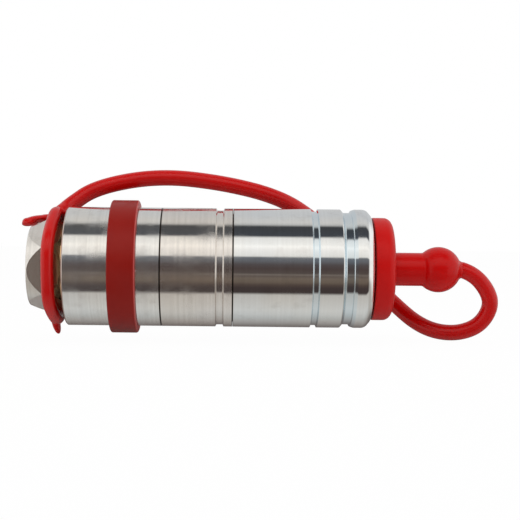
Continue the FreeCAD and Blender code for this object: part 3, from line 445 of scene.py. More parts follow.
def zinc_plate(name, cool, warm, sharp, dull, streak, marks, haze=0.0, grooves=(),
               tinge_and_reflection=BLUE, joints=()):
    made, tree, surface = finish(name, cool, sharp, metallic=1.0 - haze)
    colour = zinc_colour(tree, cool, warm, streak)
    # blue and gold are the plate's own colour; the rear rim's brown is a painted reflection
    for start, end in grooves:
        share = math_node(tree, "MULTIPLY", zone(tree, start, end, TINGE_AND_REFLECTION_FADE), TINGE_AND_REFLECTION_SHARE)
        colour = tint(tree, share, colour, tinge_and_reflection)
    for joint in joints:
        seam = zone(tree, joint - SEAM_REACH, joint + SEAM_REACH, SEAM_FADE)
        colour = tint(tree, seam, colour, SEAM)
    link(tree, colour, surface.inputs["Base Color"])
    clouds = spread(tree, noise(tree, **SHINE_CLOUDS), 0.0, 1.0, CLOUDS_FROM, CLOUDS_FULL)
    specks = spread(tree, noise(tree, **HAND_SPECKS), SPECK_LOW, 1.0)
    worn = math_node(tree, "MULTIPLY", specks, clouds)
    link(tree, spread(tree, worn, sharp, dull, 0.0, 1.0), surface.inputs["Roughness"])
    add_bump(tree, surface, noise(tree, **LATHE_MARKS), marks, LATHE_MARK_DEPTH)
    return made


# %% [markdown]
# The front sleeve is the brightest shell, and its grooves keep the bath's blue. The rear and
# middle shells are duller and warmer, and the rear one has a brown painted reflection on its
# rim. The hexagon's flats were milled and are the dullest, with a touch of gold in the
# chamfer behind them. Five materials could be built one by one. Here one recipe makes all
# five, and each call says only what differs.

# %% Zinc plate on each piece
FIRST_JOINT, SECOND_JOINT = 44.35, 68.1
MARK_GROOVE = (94.1, 96.4)
DEEP_GROOVE = (104.6, 108.6)
REAR_CHAMFER = (9.0, 12.4)
REAR_RIM_REFLECTION = (12.3, 12.85)

zinc_bright = zinc_plate(
    "zinc_bright", cool=(0.86, 0.88, 0.89), warm=(0.89, 0.88, 0.85), sharp=0.035, dull=0.12,
    streak=0.12, marks=0.06, grooves=(MARK_GROOVE, DEEP_GROOVE), joints=(SECOND_JOINT,))
# The rear shell's brown rim is a painted reflection.
zinc_satin = zinc_plate(
    "zinc_satin", cool=(0.86, 0.87, 0.87), warm=(0.88, 0.85, 0.80), sharp=0.08, dull=0.32,
    streak=0.22, marks=0.10, haze=0.05, grooves=(REAR_RIM_REFLECTION,), tinge_and_reflection=REFLECTION_BROWN,
    joints=(FIRST_JOINT,))
zinc_warm = zinc_plate(
    "zinc_warm", cool=(0.84, 0.80, 0.77), warm=(0.86, 0.81, 0.75), sharp=0.08, dull=0.30,
    streak=0.22, marks=0.10, haze=0.04, joints=(FIRST_JOINT, SECOND_JOINT))
zinc_core = zinc_plate(
    "zinc_core", cool=(0.84, 0.85, 0.85), warm=(0.86, 0.84, 0.80), sharp=0.08, dull=0.26,
    streak=0.22, marks=0.10)
zinc_hexagon = zinc_plate(
    "zinc_hexagon", cool=(0.86, 0.83, 0.80), warm=(0.84, 0.80, 0.74), sharp=0.14, dull=0.28,
    streak=0.22, marks=0.16, haze=0.09, grooves=(REAR_CHAMFER,), tinge_and_reflection=GOLD)


# %% [markdown]
# The inner pieces are machined steel, drawn spring wire, polished balls, black seals and a
# white back-up ring. They show in the hose port and when the plug is out, and never from
# close by. So each finish is one or two noises: enough to tell them apart, and cheap.

# %% Inner finishes
STEEL_GRAIN = {"scale": 3600, "stretch": TURNING}
STEEL_CLOUDS = {"scale": 90}
STEEL_MARKS = 0.25
WIRE_GRAIN = {"scale": 1500, "detail": 4.0}
WIRE_CLOUDS = {"scale": 400}
BALL_CLOUDS = {"scale": 900}
SEAL_GRAIN = {"scale": 2200, "detail": 5.0}
SEAL_MARKS, SEAL_MARK_DEPTH = 0.2, 0.01
BACKUP_CLOUDS = {"scale": 300}


def machined_steel():
    made, tree, surface = finish("machined_steel", (0.56, 0.56, 0.57), 0.3, metallic=1.0)
    grain = noise(tree, **STEEL_GRAIN)
    link(tree, spread(tree, grain, 0.24, 0.38), surface.inputs["Roughness"])
    clouds = noise(tree, **STEEL_CLOUDS)
    colour = tint(tree, clouds, (0.52, 0.52, 0.54), (0.60, 0.59, 0.57))
    link(tree, colour, surface.inputs["Base Color"])
    add_bump(tree, surface, grain, STEEL_MARKS, LATHE_MARK_DEPTH)
    return made


def drawn_wire():
    made, tree, surface = finish("drawn_wire", (0.40, 0.40, 0.42), 0.32, metallic=1.0)
    grain = noise(tree, **WIRE_GRAIN)
    link(tree, spread(tree, grain, 0.26, 0.42), surface.inputs["Roughness"])
    clouds = noise(tree, **WIRE_CLOUDS)
    colour = tint(tree, clouds, (0.34, 0.34, 0.37), (0.46, 0.45, 0.44))
    link(tree, colour, surface.inputs["Base Color"])
    return made


def polished_ball():
    made, tree, surface = finish("polished_ball", (0.80, 0.80, 0.81), 0.08, metallic=1.0)
    clouds = noise(tree, **BALL_CLOUDS)
    link(tree, spread(tree, clouds, 0.05, 0.12), surface.inputs["Roughness"])
    return made


def black_seal():
    made, tree, surface = finish("black_seal", (0.022, 0.022, 0.023), 0.5, specular=0.4)
    grain = noise(tree, **SEAL_GRAIN)
    link(tree, spread(tree, grain, 0.42, 0.60), surface.inputs["Roughness"])
    add_bump(tree, surface, grain, SEAL_MARKS, SEAL_MARK_DEPTH)
    return made


def white_backup():
    made, tree, surface = finish("white_backup", (0.82, 0.82, 0.79), 0.55, specular=0.3)
    clouds = noise(tree, **BACKUP_CLOUDS)
    colour = tint(tree, clouds, (0.80, 0.80, 0.76), (0.86, 0.86, 0.84))
    link(tree, colour, surface.inputs["Base Color"])
    return made


# %% [markdown]
# The plug, cord and ring are one soft red plastic with a low sheen. A single red would do
# for a small picture, but soft plastic is never quite even: its colour clouds a little, and
# its skin is gently uneven, which softens the highlight. The plug's disc is more matt than
# the rest, and a dark line of painted shade lies where it meets the steel. The band is a
# harder, darker red with a satin skin, and its front rim has a pale painted highlight.

# %% Red plastics
RED_CLOUDS = {"scale": 70, "detail": 4.0}
RED_SHEEN = {"scale": 160, "detail": 2.0}
RED_SKIN = {"scale": 240, "detail": 0.0}
RED_SKIN_DEPTH = 0.02
DISC_ZONE, DISC_FADE = (112.0, 122.0), 0.5
DISC_MATT = 0.13
# Painted shade: a dark red line on the disc's rear edge, where it meets the steel nose.
PAINTED_SHADE = (0.05, 0.002, 0.002)
PAINTED_SHADE_ZONE, PAINTED_SHADE_FADE = (113.8, 114.75), 0.3
PAINTED_SHADE_SHARE = 0.85
BAND_CLOUDS = {"scale": 60, "detail": 4.0}
BAND_SHEEN = {"scale": 300, "detail": 5.0}
BAND_SKIN = {"scale": 900, "detail": 2.0}
BAND_SKIN_DEPTH = 0.02
# Painted highlight: a paler red on the band's front rim, where its edge catches the light.
HIGHLIGHT_RED = (0.56, 0.09, 0.08)
BAND_HIGHLIGHT_ZONE, BAND_HIGHLIGHT_FADE = (36.2, 37.0), 0.15
HIGHLIGHT_SHARE = 0.8


def soft_red(name, specular, on_plug=False):
    made, tree, surface = finish(name, (0.545, 0.003, 0.003), 0.22, specular=specular)
    clouds = spread(tree, noise(tree, **RED_CLOUDS), 0.0, 1.0)
    colour = tint(tree, clouds, (0.515, 0.002, 0.002), (0.575, 0.004, 0.003))
    rough = spread(tree, noise(tree, **RED_SHEEN), 0.20, 0.26)
    if on_plug:
        disc = zone(tree, *DISC_ZONE, DISC_FADE)
        rough = math_node(tree, "ADD", rough, math_node(tree, "MULTIPLY", disc, DISC_MATT))
        # painted shade on the disc's rear edge, next to the steel nose
        painted_shade = zone(tree, *PAINTED_SHADE_ZONE, PAINTED_SHADE_FADE)
        colour = tint(tree, math_node(tree, "MULTIPLY", painted_shade, PAINTED_SHADE_SHARE), colour, PAINTED_SHADE)
    link(tree, colour, surface.inputs["Base Color"])
    link(tree, rough, surface.inputs["Roughness"])
    add_bump(tree, surface, noise(tree, **RED_SKIN), 0.05, RED_SKIN_DEPTH)
    return made


def band_red():
    made, tree, surface = finish("band_red", (0.25, 0.008, 0.005), 0.32, specular=0.18)
    clouds = spread(tree, noise(tree, **BAND_CLOUDS), 0.0, 1.0)
    colour = tint(tree, clouds, (0.238, 0.007, 0.004), (0.270, 0.010, 0.006))
    # painted highlight on the band's front rim
    rim = math_node(tree, "MULTIPLY", zone(tree, *BAND_HIGHLIGHT_ZONE, BAND_HIGHLIGHT_FADE), HIGHLIGHT_SHARE)
    link(tree, tint(tree, rim, colour, HIGHLIGHT_RED), surface.inputs["Base Color"])
    sheen = noise(tree, **BAND_SHEEN)
    link(tree, spread(tree, sheen, 0.28, 0.42), surface.inputs["Roughness"])
    add_bump(tree, surface, noise(tree, **BAND_SKIN), 0.08, BAND_SKIN_DEPTH)
    return made


# %% [markdown]
# Each of the frame's pieces has to carry a finish, also those that lie inside, because the
# plug and the sleeve move and show them. A material could be given piece by piece, where
# one is soon forgotten. So a table names the finish of every piece, and a loop dresses them
# all: a piece that the table leaves out stops the script.

# %% Dress the frame's own pieces
red_soft = soft_red("soft_red", specular=0.32)
red_plug = soft_red("plug_red", specular=0.2, on_plug=True)
red_band = band_red()
wire = drawn_wire()
FINISHES = [
    (zinc_hexagon, ("hex_adapter",)),
    (zinc_core, ("inner_body",)),
    (zinc_satin, ("rear_shell",)),
    (zinc_warm, ("middle_shell",)),
    (zinc_bright, ("front_sleeve",)),
    (red_band, ("colour_band",)),
    (red_soft, ("tether_ring", "tether_cord")),
    (red_plug, ("dust_plug",)),
    (polished_ball(), ("locking_balls",)),
    (white_backup(), ("tip_backup_ring",)),
    (machined_steel(), ("poppet", "poppet_guide", "spring_stop_ring",
                        "rear_spring_washer", "front_spring_washer")),
    (wire, ("poppet_spring", "rear_centring_spring", "front_centring_spring",
            "rear_snap_ring", "front_snap_ring")),
    (black_seal(), ("adapter_o_ring", "tip_seal", "poppet_seal")),
]
FINISH_OF = {name: material for material, names in FINISHES for name in names}
for name, node in nodes.items():
    node.data.materials.clear()
    node.data.materials.append(FINISH_OF[name])
print("dressed", len(nodes), "pieces of the frame")


# %% [markdown]
# A turned piece is made by a tool that follows half an outline while the bar goes round, and
# a mould for a round piece is cut the same way. A cylinder with bevelled edges would do for a
# plain one. These have many steps, so each starts as half a section instead: a flat face
# whose corners are rounded with a bevel, so that a fillet is one number. Its outline is then
# spun round the coupler's axis.

# %% Turning helpers
TURN_STEPS = 192
ROUND_STEPS = 8
SAME_POINT = 1e-7
SHARP_EDGE = math.radians(20)
LARGE_FACES_LEAD = 100


def half_section(corners):
    """A flat outline of (place along X, radius, rounding), in millimetres."""
    section = bmesh.new()
    points = [section.verts.new((x * MM, 0, r * MM)) for x, r, _ in corners]
    section.faces.new(points)
    for point, (_, _, rounding) in zip(points, corners):
        if rounding:
            bmesh.ops.bevel(section, geom=[point], offset=rounding * MM,
                            segments=ROUND_STEPS, affect="VERTICES", profile=0.5,
                            material=-1)
    bmesh.ops.delete(section, geom=section.faces[:], context="FACES_ONLY")
    return section


def spin_round(section):
    """Spin an outline round the axis into a closed shape whose faces point outwards."""
    on_axis = [e for e in section.edges if max(abs(v.co.z) for v in e.verts) < SAME_POINT]
    bmesh.ops.delete(section, geom=on_axis, context="EDGES")
    bmesh.ops.spin(section, geom=section.verts[:] + section.edges[:], cent=(0, 0, 0),
                   axis=(1, 0, 0), angle=2 * math.pi, steps=TURN_STEPS, use_merge=True)
    bmesh.ops.remove_doubles(section, verts=section.verts[:], dist=SAME_POINT)
    bmesh.ops.dissolve_degenerate(section, edges=section.edges[:], dist=SAME_POINT)
    bmesh.ops.recalc_face_normals(section, faces=section.faces[:])


def piece_from(shape, name, body, material, slot, *replaced):
    """Turn a bmesh into a finished piece that rides on a body and stands for CAD nodes."""
    mesh = bpy.data.meshes.new(name)
    shape.to_mesh(mesh)
    shape.free()
    mesh.polygons.foreach_set("use_smooth", [True] * len(mesh.polygons))
    mesh.set_sharp_from_angle(angle=SHARP_EDGE)
    mesh.materials.append(material)
    made = bpy.data.objects.new(name, mesh)
    bpy.context.scene.collection.objects.link(made)
    if body:
        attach(made, body)
    if replaced:
        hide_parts(*replaced)
    even = made.modifiers.new("even_shine", "WEIGHTED_NORMAL")
    even.weight = LARGE_FACES_LEAD
    even.keep_sharp = True
    print(name, len(mesh.vertices), "points", len(mesh.polygons), "faces")
    return made


# %% [markdown]
# The outer sleeve is three turned shells screwed together. A joint between two of them is a
# hair-wide gap with a softly broken edge on each side, and that is what draws the dark line
# and the thin highlights beside it. A dark line could be painted, but it would not catch the
# light. So the shells are turned again here from the frame's sizes, with those edges.

# %% Rear and middle shells
SHELL = 20.0
RUNNING_BORE = 13.48
SPRING_ROOM = 16.9
SCREW = 18.3
NUT = 18.38
SPRINGS_START = 27.0
REAR_SCREW_START, REAR_NUT_FLOOR = 38.5, 38.4
JOINT_GAP = 0.05
EDGE = 0.14
REAR_START, RIM_END = 12.5, 12.9
RIM_DROP = 0.32
MOUTH_BORE, MOUTH_END = 16.2, 19.5
SEAT_START, SEAT_END = 27.3, 36.5
SEAT_DEPTH = 0.4
SHALLOW_GROOVE = (62.4, 65.15)
SHALLOW_DEPTH = 0.7
GROOVE_WALL = 0.35
FRONT_SCREW_END = 75.3


def shallow_groove(start, end, depth, rim, foot):
    """Four corners of a groove in a shell's outside, from its rear rim to its front one."""
    return [
        (start, SHELL, rim),
        (start + GROOVE_WALL, SHELL - depth, foot),
        (end - GROOVE_WALL, SHELL - depth, foot),
        (end, SHELL, rim),
    ]


def rear_shell():
    section = half_section([
        (REAR_START, MOUTH_BORE, 0.3),
        (REAR_START, SHELL - RIM_DROP, 0.1),
        (RIM_END, SHELL, 0.08),
        (SEAT_START, SHELL, 0.1),
        (SEAT_START, SHELL - SEAT_DEPTH, 0),
        (SEAT_END, SHELL - SEAT_DEPTH, 0),
        (SEAT_END, SHELL, 0.1),
        (FIRST_JOINT - JOINT_GAP, SHELL, EDGE),
        (FIRST_JOINT - JOINT_GAP, NUT, 0),
        (REAR_NUT_FLOOR, NUT, 0),
        (REAR_NUT_FLOOR, SPRING_ROOM, 0),
        (SPRINGS_START, SPRING_ROOM, 0),
        (SPRINGS_START, RUNNING_BORE, 0),
        (MOUTH_END, RUNNING_BORE, 0.2),
        (MOUTH_END, MOUTH_BORE, 0.2),
    ])
    spin_round(section)
    piece_from(section, "turned_rear_shell", "outer_sleeve", zinc_satin, "zinc_steel",
               "rear_shell")


def middle_shell():
    section = half_section([
        (FIRST_JOINT + JOINT_GAP, SHELL, EDGE),
        *shallow_groove(*SHALLOW_GROOVE, SHALLOW_DEPTH, rim=0.10, foot=0.15),
        (SECOND_JOINT - JOINT_GAP, SHELL, EDGE),
        (SECOND_JOINT - JOINT_GAP, SCREW, 0),
        (FRONT_SCREW_END, SCREW, 0),
        (FRONT_SCREW_END, SPRING_ROOM, 0),
        (REAR_SCREW_START, SPRING_ROOM, 0),
        (REAR_SCREW_START, SCREW, 0),
        (FIRST_JOINT + JOINT_GAP, SCREW, 0),
    ])
    spin_round(section)
    piece_from(section, "turned_middle_shell", "outer_sleeve", zinc_warm, "zinc_steel",
               "middle_shell")


rear_shell()
middle_shell()


# %% [markdown]
# The front sleeve carries most of the shape: a shallow groove, a deep groove with a soft
# foot, and a nose that rounds down to a bright chamfer. Inside it has two release grooves,
# which let the locking balls move out at either end of its travel. A boolean cut could take
# each groove out of a plain tube, but as corners of one section they keep clean edges.

# %% Front sleeve
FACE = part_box("front_sleeve")[1].x / MM
MARK_GROOVE_DEPTH = 0.8
DEEP_START, DEEP_FLOOR_START, DEEP_FLOOR_END = 104.1, 105.05, 107.4
DEEP_DEPTH = 1.15
SHOULDER_START, SHOULDER_END = 107.5, 108.9
SHOULDER_DROP = 0.45
NOSE = [(2.2, 0.0, 0.6), (1.25, 0.5, 0.4), (0.1, 1.85, 0.1), (0.0, 2.05, 0)]
LIP_BORE, LIP_DEPTH = 14.48, 1.0
RELEASE_GROOVES = [(95.6, 102.8), (83.2, 90.4)]
RELEASE_RADIUS = 15.3
RELEASE_WALL = 1.8
FRONT_NUT_FLOOR = 75.4


def release_groove(start, end):
    """Four corners of a groove in the running bore, from its front edge to its rear one."""
    return [
        (end, RUNNING_BORE, 0),
        (end - RELEASE_WALL, RELEASE_RADIUS, 0),
        (start + RELEASE_WALL, RELEASE_RADIUS, 0),
        (start, RUNNING_BORE, 0),
    ]


def front_sleeve():
    section = half_section([
        (SECOND_JOINT + JOINT_GAP, SHELL, EDGE),
        *shallow_groove(*MARK_GROOVE, MARK_GROOVE_DEPTH, rim=0.08, foot=0.12),
        (DEEP_START, SHELL, 0.25),
        (DEEP_FLOOR_START, SHELL - DEEP_DEPTH, 0.25),
        (DEEP_FLOOR_END, SHELL - DEEP_DEPTH, 0),
        (SHOULDER_START, SHELL - SHOULDER_DROP, 0.3),
        (SHOULDER_END, SHELL, 0.3),
        *[(FACE - back, SHELL - drop, rounding) for back, drop, rounding in NOSE],
        (FACE, LIP_BORE, 0.15),
        (FACE - LIP_DEPTH, RUNNING_BORE, 0),
        *[corner for groove in RELEASE_GROOVES for corner in release_groove(*groove)],
        (FRONT_NUT_FLOOR, RUNNING_BORE, 0),
        (FRONT_NUT_FLOOR, NUT, 0),
        (SECOND_JOINT + JOINT_GAP, NUT, 0),
    ])
    spin_round(section)
    piece_from(section, "turned_front_sleeve", "outer_sleeve", zinc_bright, "zinc_steel",
               "front_sleeve")


front_sleeve()


# %% [markdown]
# The colour band is a firm plastic ring that sits in a shallow groove and stands proud of
# it. It could be a torus or a stretched tube, but its face is flat and only its rims are
# round, which four corners and two bevels give. The front rim is the rounder one.

# %% Colour band
BAND_START, BAND_END = 27.35, 36.45
BAND_SEAT, BAND_RADIUS = 19.6, 22.4
REAR_RIM_ROUND, FRONT_RIM_ROUND = 0.55, 0.75


def colour_band():
    section = half_section([
        (BAND_START, BAND_SEAT, 0),
        (BAND_START, BAND_RADIUS, REAR_RIM_ROUND),
        (BAND_END, BAND_RADIUS, FRONT_RIM_ROUND),
        (BAND_END, BAND_SEAT, 0),
    ])
    spin_round(section)
    piece_from(section, "moulded_band", "outer_sleeve", red_band, "band_red", "colour_band")


colour_band()


# %% [markdown]
# The dust plug is one moulding: a hollow nose in the socket, a thick disc, a stem and a
# ball to pull by. A sphere joined to cylinders would leave creases that no moulding has. So
# stem, ball and the cord's root share one outline, with small fillets where they meet. The
# ball's part of the outline is an arc of points, and the root ends in a dome inside the cord.

# %% Dust plug
plug_low, plug_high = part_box("dust_plug")
PLUG_START = plug_low.x / MM
ROOT_END = plug_high.x / MM
DISC_RADIUS = plug_high.z / MM
DISC_END = FACE + 7.3
SHADOW_GAP = 0.28
DISC_REAR_ROUND, DISC_RIM_ROUND = 0.9, 2.8
BALL_PLACE = DISC_END + 16.2
BALL_RADIUS = 7.7
BALL_STEPS = 24
STEM_RADIUS, STEM_FILLET = 5.6, 0.7
STEM_TO_BALL, BALL_TO_ROOT = 0.5, 0.35
ROOT_RADIUS = 3.3
CORD_RADIUS = 2.72
ROOT_DOME, DOME_FLAT = 2.69, 0.03
NOSE_RADIUS, NOSE_WALL = 10.15, 2.3
NOSE_ROUND, NOSE_LIP, HOLLOW_ROUND = 1.2, 0.5, 1.0
FLOOR_OF_HOLLOW = 5.4


def ball_outline():
    """The ball's half outline, from the stem to the cord's root."""
    stem_angle = math.asin(STEM_RADIUS / BALL_RADIUS)
    root_angle = math.asin(ROOT_RADIUS / BALL_RADIUS)
    sweep = math.pi - stem_angle - root_angle
    ball = []
    for step in range(BALL_STEPS + 1):
        angle = math.pi - stem_angle - sweep * step / BALL_STEPS
        along = BALL_PLACE + BALL_RADIUS * math.cos(angle)
        ball.append((along, BALL_RADIUS * math.sin(angle), 0))
    ball[0] = (*ball[0][:2], STEM_TO_BALL)
    ball[-1] = (*ball[-1][:2], BALL_TO_ROOT)
    return ball


def dust_plug():
    section = half_section([
        (PLUG_START, NOSE_RADIUS - NOSE_WALL, NOSE_LIP),
        (PLUG_START, NOSE_RADIUS, NOSE_ROUND),
        (FACE + SHADOW_GAP, NOSE_RADIUS, 0),
        (FACE + SHADOW_GAP, DISC_RADIUS, DISC_REAR_ROUND),
        (DISC_END, DISC_RADIUS, DISC_RIM_ROUND),
        (DISC_END, STEM_RADIUS, STEM_FILLET),
        *ball_outline(),
        (ROOT_END, ROOT_DOME, 0),
        (ROOT_END + ROOT_DOME, ROOT_DOME, ROOT_DOME - DOME_FLAT),
        (ROOT_END + ROOT_DOME, 0, 0),
        (DISC_END - FLOOR_OF_HOLLOW, 0, 0),
        (DISC_END - FLOOR_OF_HOLLOW, NOSE_RADIUS - NOSE_WALL, HOLLOW_ROUND),
    ])
    spin_round(section)
    piece_from(section, "moulded_plug", "plug", red_plug, "tether_red", "dust_plug")


dust_plug()


# %% [markdown]
# The tether is a soft round cord, about as thick as a thin pencil. It leaves the ball, hangs
# in a loop, runs up behind the sleeve and comes over the top to the ring. A chain of
# cylinders would kink at each joint. So one smooth curve follows the route, and its own
# bevel makes the tube.

# %% Route of the tether
ROUTE = [
    (149.6, 0.0, -1.2), (154.7, 0.9, -6.8), (156.4, 2.2, -12.3), (153.1, 3.8, -18.8),
    (146.7, 6.0, -21.9), (139.2, 8.8, -21.9), (132.4, 12.4, -19.1), (125.8, 18.2, -13.2),
    (117.5, 24.4, -4.6), (108.2, 25.6, 6.2), (97.4, 20.5, 16.4), (84.5, 15.4, 24.4),
    (64.5, 13.2, 29.2), (42.0, 12.4, 31.4), (20.6, 11.4, 27.3), (11.4, 7.9, 20.5),
]
RING_TOP = Vector((8.9, 4.5, 17.3))
STUB_LENGTH = 3.4
STUB_WAY = (Vector(ROUTE[-1]) - RING_TOP).normalized()
STUB_END = RING_TOP + STUB_WAY * STUB_LENGTH
LINE_STEPS, TUBE_STEPS = 20, 10
LINE_ORDER = 3
print("the cord meets the ring's stub at", [round(v, 1) for v in STUB_END], "mm")


# %% [markdown]
# A curve can stay a curve, but a finished piece is a mesh, and its length has to be known.
# So the route is drawn twice: once bare, as a row of points to measure along, and once with
# its bevel, as the tube that is seen.

# %% Tether cord
def smooth_line(name, points, closed=False, thickness=0.0):
    """A curve of one spline through the space between its points, in millimetres."""
    line = bpy.data.curves.new(name, "CURVE")
    line.dimensions = "3D"
    line.resolution_u = LINE_STEPS
    line.bevel_depth = thickness * MM
    line.bevel_resolution = TUBE_STEPS
    line.use_fill_caps = not closed
    spline = line.splines.new("NURBS")
    spline.points.add(len(points) - 1)
    for point, place in zip(spline.points, points):
        point.co = (*(Vector(place) * MM), 1)
    spline.order_u = LINE_ORDER
    spline.use_endpoint_u = not closed
    spline.use_cyclic_u = closed
    return bpy.data.objects.new(name, line)


def mesh_of(curve):
    """The mesh that a curve makes; the curve itself is removed."""
    bpy.context.scene.collection.objects.link(curve)
    graph = bpy.context.evaluated_depsgraph_get()
    mesh = bpy.data.meshes.new_from_object(curve.evaluated_get(graph))
    bpy.data.objects.remove(curve)
    return mesh


def tether():
    route = [(ROOT_END, 0, 0), *ROUTE, tuple(STUB_END)]
    path = [tuple(v.co) for v in mesh_of(smooth_line("route", route)).vertices]
    shape = bmesh.new()
    shape.from_mesh(mesh_of(smooth_line("tube", route, thickness=CORD_RADIUS)))
    bmesh.ops.remove_doubles(shape, verts=shape.verts[:], dist=SAME_POINT)
    bmesh.ops.recalc_face_normals(shape, faces=shape.faces[:])
    cord = piece_from(shape, "tether_tube", None, red_soft, "tether_red", "tether_cord")
    length = sum((Vector(a) - Vector(b)).length for a, b in zip(path, path[1:]))
    print("tether", round(length / MM, 1), "mm long")
    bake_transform(cord)


tether()


# %% [markdown]
# The ring that holds the tether was moulded round and has been pushed over the hexagon, so
# it is nearly round but pulled a little flat on each side. Ring, tab, pip and stub are one
# moulding, and joining their meshes edge by edge would be slow work. So they start as
# separate shapes that overlap, and a fine remesh with some smoothing melts them together.

# %% Tether ring
HEX_TURN = 6.0
RING_PLACE = 8.6
RING_LEAN = 0.05
RING_WIRE = 2.15
RING_POINTS = 12
CORNER_REACH, FLAT_REACH = 18.9, 17.3
STUB_SWELL = (1.1, 1.14, 1.02, 0.97)
TAB_LUGS = [
    ((0.4, 6.4, 15.85), (8.4, 6.0, 2.4), -9),
    ((-1.45, 6.2, 14.7), (6.4, 5.8, 2.6), -13),
    ((-2.9, 6.3, 14.75), (3.2, 5.2, 2.9), -25),
    ((3.2, 6.8, 16.05), (8.9, 4.4, 2.8), -8),
]
PIP_LUG = ((7.8, 3.2, -19.35), (2.9, 2.9, 8.6), -15)
LUG_SIDES, LUG_RINGS = 32, 20
MELT_SIZE = 0.22
SOFTEN_SHARE, SOFTEN_ROUNDS = 0.5, 16


def ring_line():
    """The ring's centre line: wider where it crosses a corner of the hexagon."""
    points = []
    for i in range(RING_POINTS):
        angle = math.radians(HEX_TURN + FULL_TURN / RING_POINTS * i)
        reach = FLAT_REACH if i % 2 == 0 else CORNER_REACH
        side = reach * math.cos(angle)
        points.append((RING_PLACE + RING_LEAN * side, side, reach * math.sin(angle)))
    return smooth_line("ring", points, closed=True, thickness=RING_WIRE)


def stub_line():
    """The stub that the cord leaves the ring by, swollen where it melts into the ring."""
    stub = smooth_line("stub", [
        RING_TOP - STUB_WAY, RING_TOP + STUB_WAY, RING_TOP + STUB_WAY * 3,
        STUB_END + STUB_WAY * 2], thickness=CORD_RADIUS)
    for point, share in zip(stub.data.splines[0].points, STUB_SWELL):
        point.radius = share
    return stub


def lug(shape, centre, widths, tilt):
    """A rounded lug with three full widths, leaning about Y."""
    made = bmesh.ops.create_uvsphere(shape, u_segments=LUG_SIDES, v_segments=LUG_RINGS,
                                     radius=0.5 * MM)
    place = (Matrix.Translation(Vector(centre) * MM)
             @ Matrix.Rotation(math.radians(tilt), 4, "Y")
             @ Matrix.Diagonal((*widths, 1)))
    bmesh.ops.transform(shape, matrix=place, verts=made["verts"])


def tether_ring():
    shape = bmesh.new()
    shape.from_mesh(mesh_of(ring_line()))
    shape.from_mesh(mesh_of(stub_line()))
    for centre, widths, tilt in (*TAB_LUGS, PIP_LUG):
        lug(shape, centre, widths, tilt)
    ring = piece_from(shape, "moulded_ring", "outer_sleeve", red_soft, "tether_red",
                      "tether_ring")
    ring.modifiers.clear()
    melt = ring.modifiers.new("melt", "REMESH")
    melt.mode = "VOXEL"
    melt.voxel_size = MELT_SIZE * MM
    melt.use_smooth_shade = True
    soften = ring.modifiers.new("soften", "SMOOTH")
    soften.factor = SOFTEN_SHARE
    soften.iterations = SOFTEN_ROUNDS


tether_ring()


# %% [markdown]
# The port end is a turned bar with six milled flats. A prism with bevelled ends would have
# straight chamfer edges, which no real hexagon has. So it is made as in the workshop: the
# bar is spun first, with its end chamfers, and each flat is one cut by a plane. Where a
# plane meets the cone it leaves the curved edge that every chamfered hexagon shows.

# %% Hexagon adapter
HEX_SIDES = 6
HEX_FLAT = 13.5
BAR_RADIUS = 15.45
FACE_RADIUS, FACE_EDGE = 13.35, 0.20
FACE_CHAMFER_END, NECK_CHAMFER_START = 5.1, 8.8
NECK_START, NECK_RADIUS = 11.3, 13.4
SPIGOT_START, SPIGOT_END, SPIGOT_RADIUS = 22.0, 45.0, 11.9
SEAL_START, SEAL_END, SEAL_RADIUS = 39.4, 41.8, 9.95
CONE_START, CONE_RADIUS = 42.6, 9.9
OIL_BORE = 7.5
THREAD_ROOT = 10.45
THREAD_FLOOR = 16.5
LEAD_IN = 0.6


def port_section():
    return half_section([
        (0, THREAD_ROOT + LEAD_IN, 0),
        (0, FACE_RADIUS, FACE_EDGE),
        (FACE_CHAMFER_END, BAR_RADIUS, 0),
        (NECK_CHAMFER_START, BAR_RADIUS, 0),
        (NECK_START, NECK_RADIUS, 0),
        (SPIGOT_START, NECK_RADIUS, 0),
        (SPIGOT_START, SPIGOT_RADIUS, 0),
        (SEAL_START, SPIGOT_RADIUS, 0),
        (SEAL_START, SEAL_RADIUS, 0),
        (SEAL_END, SEAL_RADIUS, 0),
        (SEAL_END, SPIGOT_RADIUS, 0),
        (SPIGOT_END, SPIGOT_RADIUS, 0),
        (SPIGOT_END, CONE_RADIUS, 0),
        (CONE_START, OIL_BORE, 0),
        (THREAD_FLOOR, OIL_BORE, 0),
        (THREAD_FLOOR, THREAD_ROOT, 0),
        (LEAD_IN, THREAD_ROOT, 0),
    ])


def hexagon_adapter():
    section = port_section()
    spin_round(section)
    for i in range(HEX_SIDES):
        angle = math.radians(HEX_TURN + FULL_TURN / HEX_SIDES * i)
        way = Vector((0, math.cos(angle), math.sin(angle)))
        cut = bmesh.ops.bisect_plane(
            section, geom=section.verts[:] + section.edges[:] + section.faces[:],
            plane_co=way * HEX_FLAT * MM, plane_no=way, clear_outer=True)
        rim = [e for e in cut["geom_cut"] if isinstance(e, bmesh.types.BMEdge)]
        bmesh.ops.contextual_create(section, geom=rim)
    bmesh.ops.recalc_face_normals(section, faces=section.faces[:])
    piece_from(section, "port_end", "valve_cartridge", zinc_hexagon, "zinc_steel",
               "hex_adapter")


hexagon_adapter()


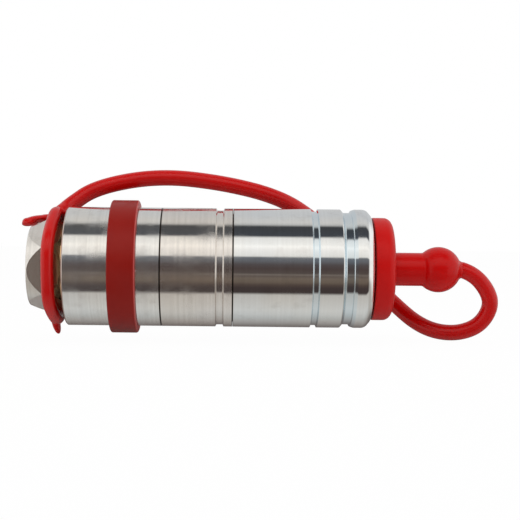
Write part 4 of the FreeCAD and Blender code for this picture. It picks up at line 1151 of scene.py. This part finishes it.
# %% [markdown]
# A half inch pipe thread runs into the port, and the hose is screwed into it. A stack of
# rings would pass for it from far off, but the port can be looked into from its end. So the
# thread is a ridge with two slopes, spun and moved along the axis in the same step, which
# makes a true screw line.

# %% Port thread
THREAD_PITCH = 1.814
THREAD_TURNS, THREAD_STEPS = 8, 72
THREAD_START = 1.4
THREAD_CREST, CREST_HALF = 9.35, 0.12
THREAD_FOOT_SHARE = 0.46
THREAD_SUNK = 0.05


def port_thread():
    ridge = bmesh.new()
    root = THREAD_ROOT + THREAD_SUNK
    half = THREAD_PITCH * THREAD_FOOT_SHARE
    corners = [(-half, root), (-CREST_HALF, THREAD_CREST), (CREST_HALF, THREAD_CREST),
               (half, root)]
    start = [ridge.verts.new(((THREAD_START + x) * MM, 0, r * MM)) for x, r in corners]
    face = ridge.faces.new(start)
    bmesh.ops.spin(ridge, geom=[face], cent=(0, 0, 0), axis=(1, 0, 0),
                   dvec=(THREAD_PITCH * MM / THREAD_STEPS, 0, 0),
                   angle=2 * math.pi * THREAD_TURNS, steps=THREAD_STEPS * THREAD_TURNS)
    bmesh.ops.remove_doubles(ridge, verts=ridge.verts[:], dist=SAME_POINT)
    bmesh.ops.recalc_face_normals(ridge, faces=ridge.faces[:])
    piece_from(ridge, "port_thread", "valve_cartridge", zinc_hexagon, "zinc_steel")


port_thread()


# %% [markdown]
# Three springs work inside: two hold the sleeve in its middle place, and one shuts the
# valve. As the frame has it, a coil would pass through its stop when the joint moves. Each
# is a copy of the frame's coil with a mesh of its own, riding on its body, and it keeps its
# full length.


def working_spring(name, body):
    """A copy of a coil with a mesh of its own, riding on a body."""
    coil = bmesh.new()
    coil.from_mesh(nodes[name].data)
    bmesh.ops.remove_doubles(coil, verts=coil.verts[:], dist=SAME_POINT)
    spring = piece_from(coil, "working_" + name, body, wire, "spring_steel", name)
    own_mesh(spring)


working_spring("rear_centring_spring", "outer_sleeve")
working_spring("front_centring_spring", "outer_sleeve")
working_spring("poppet_spring", "valve_cartridge")
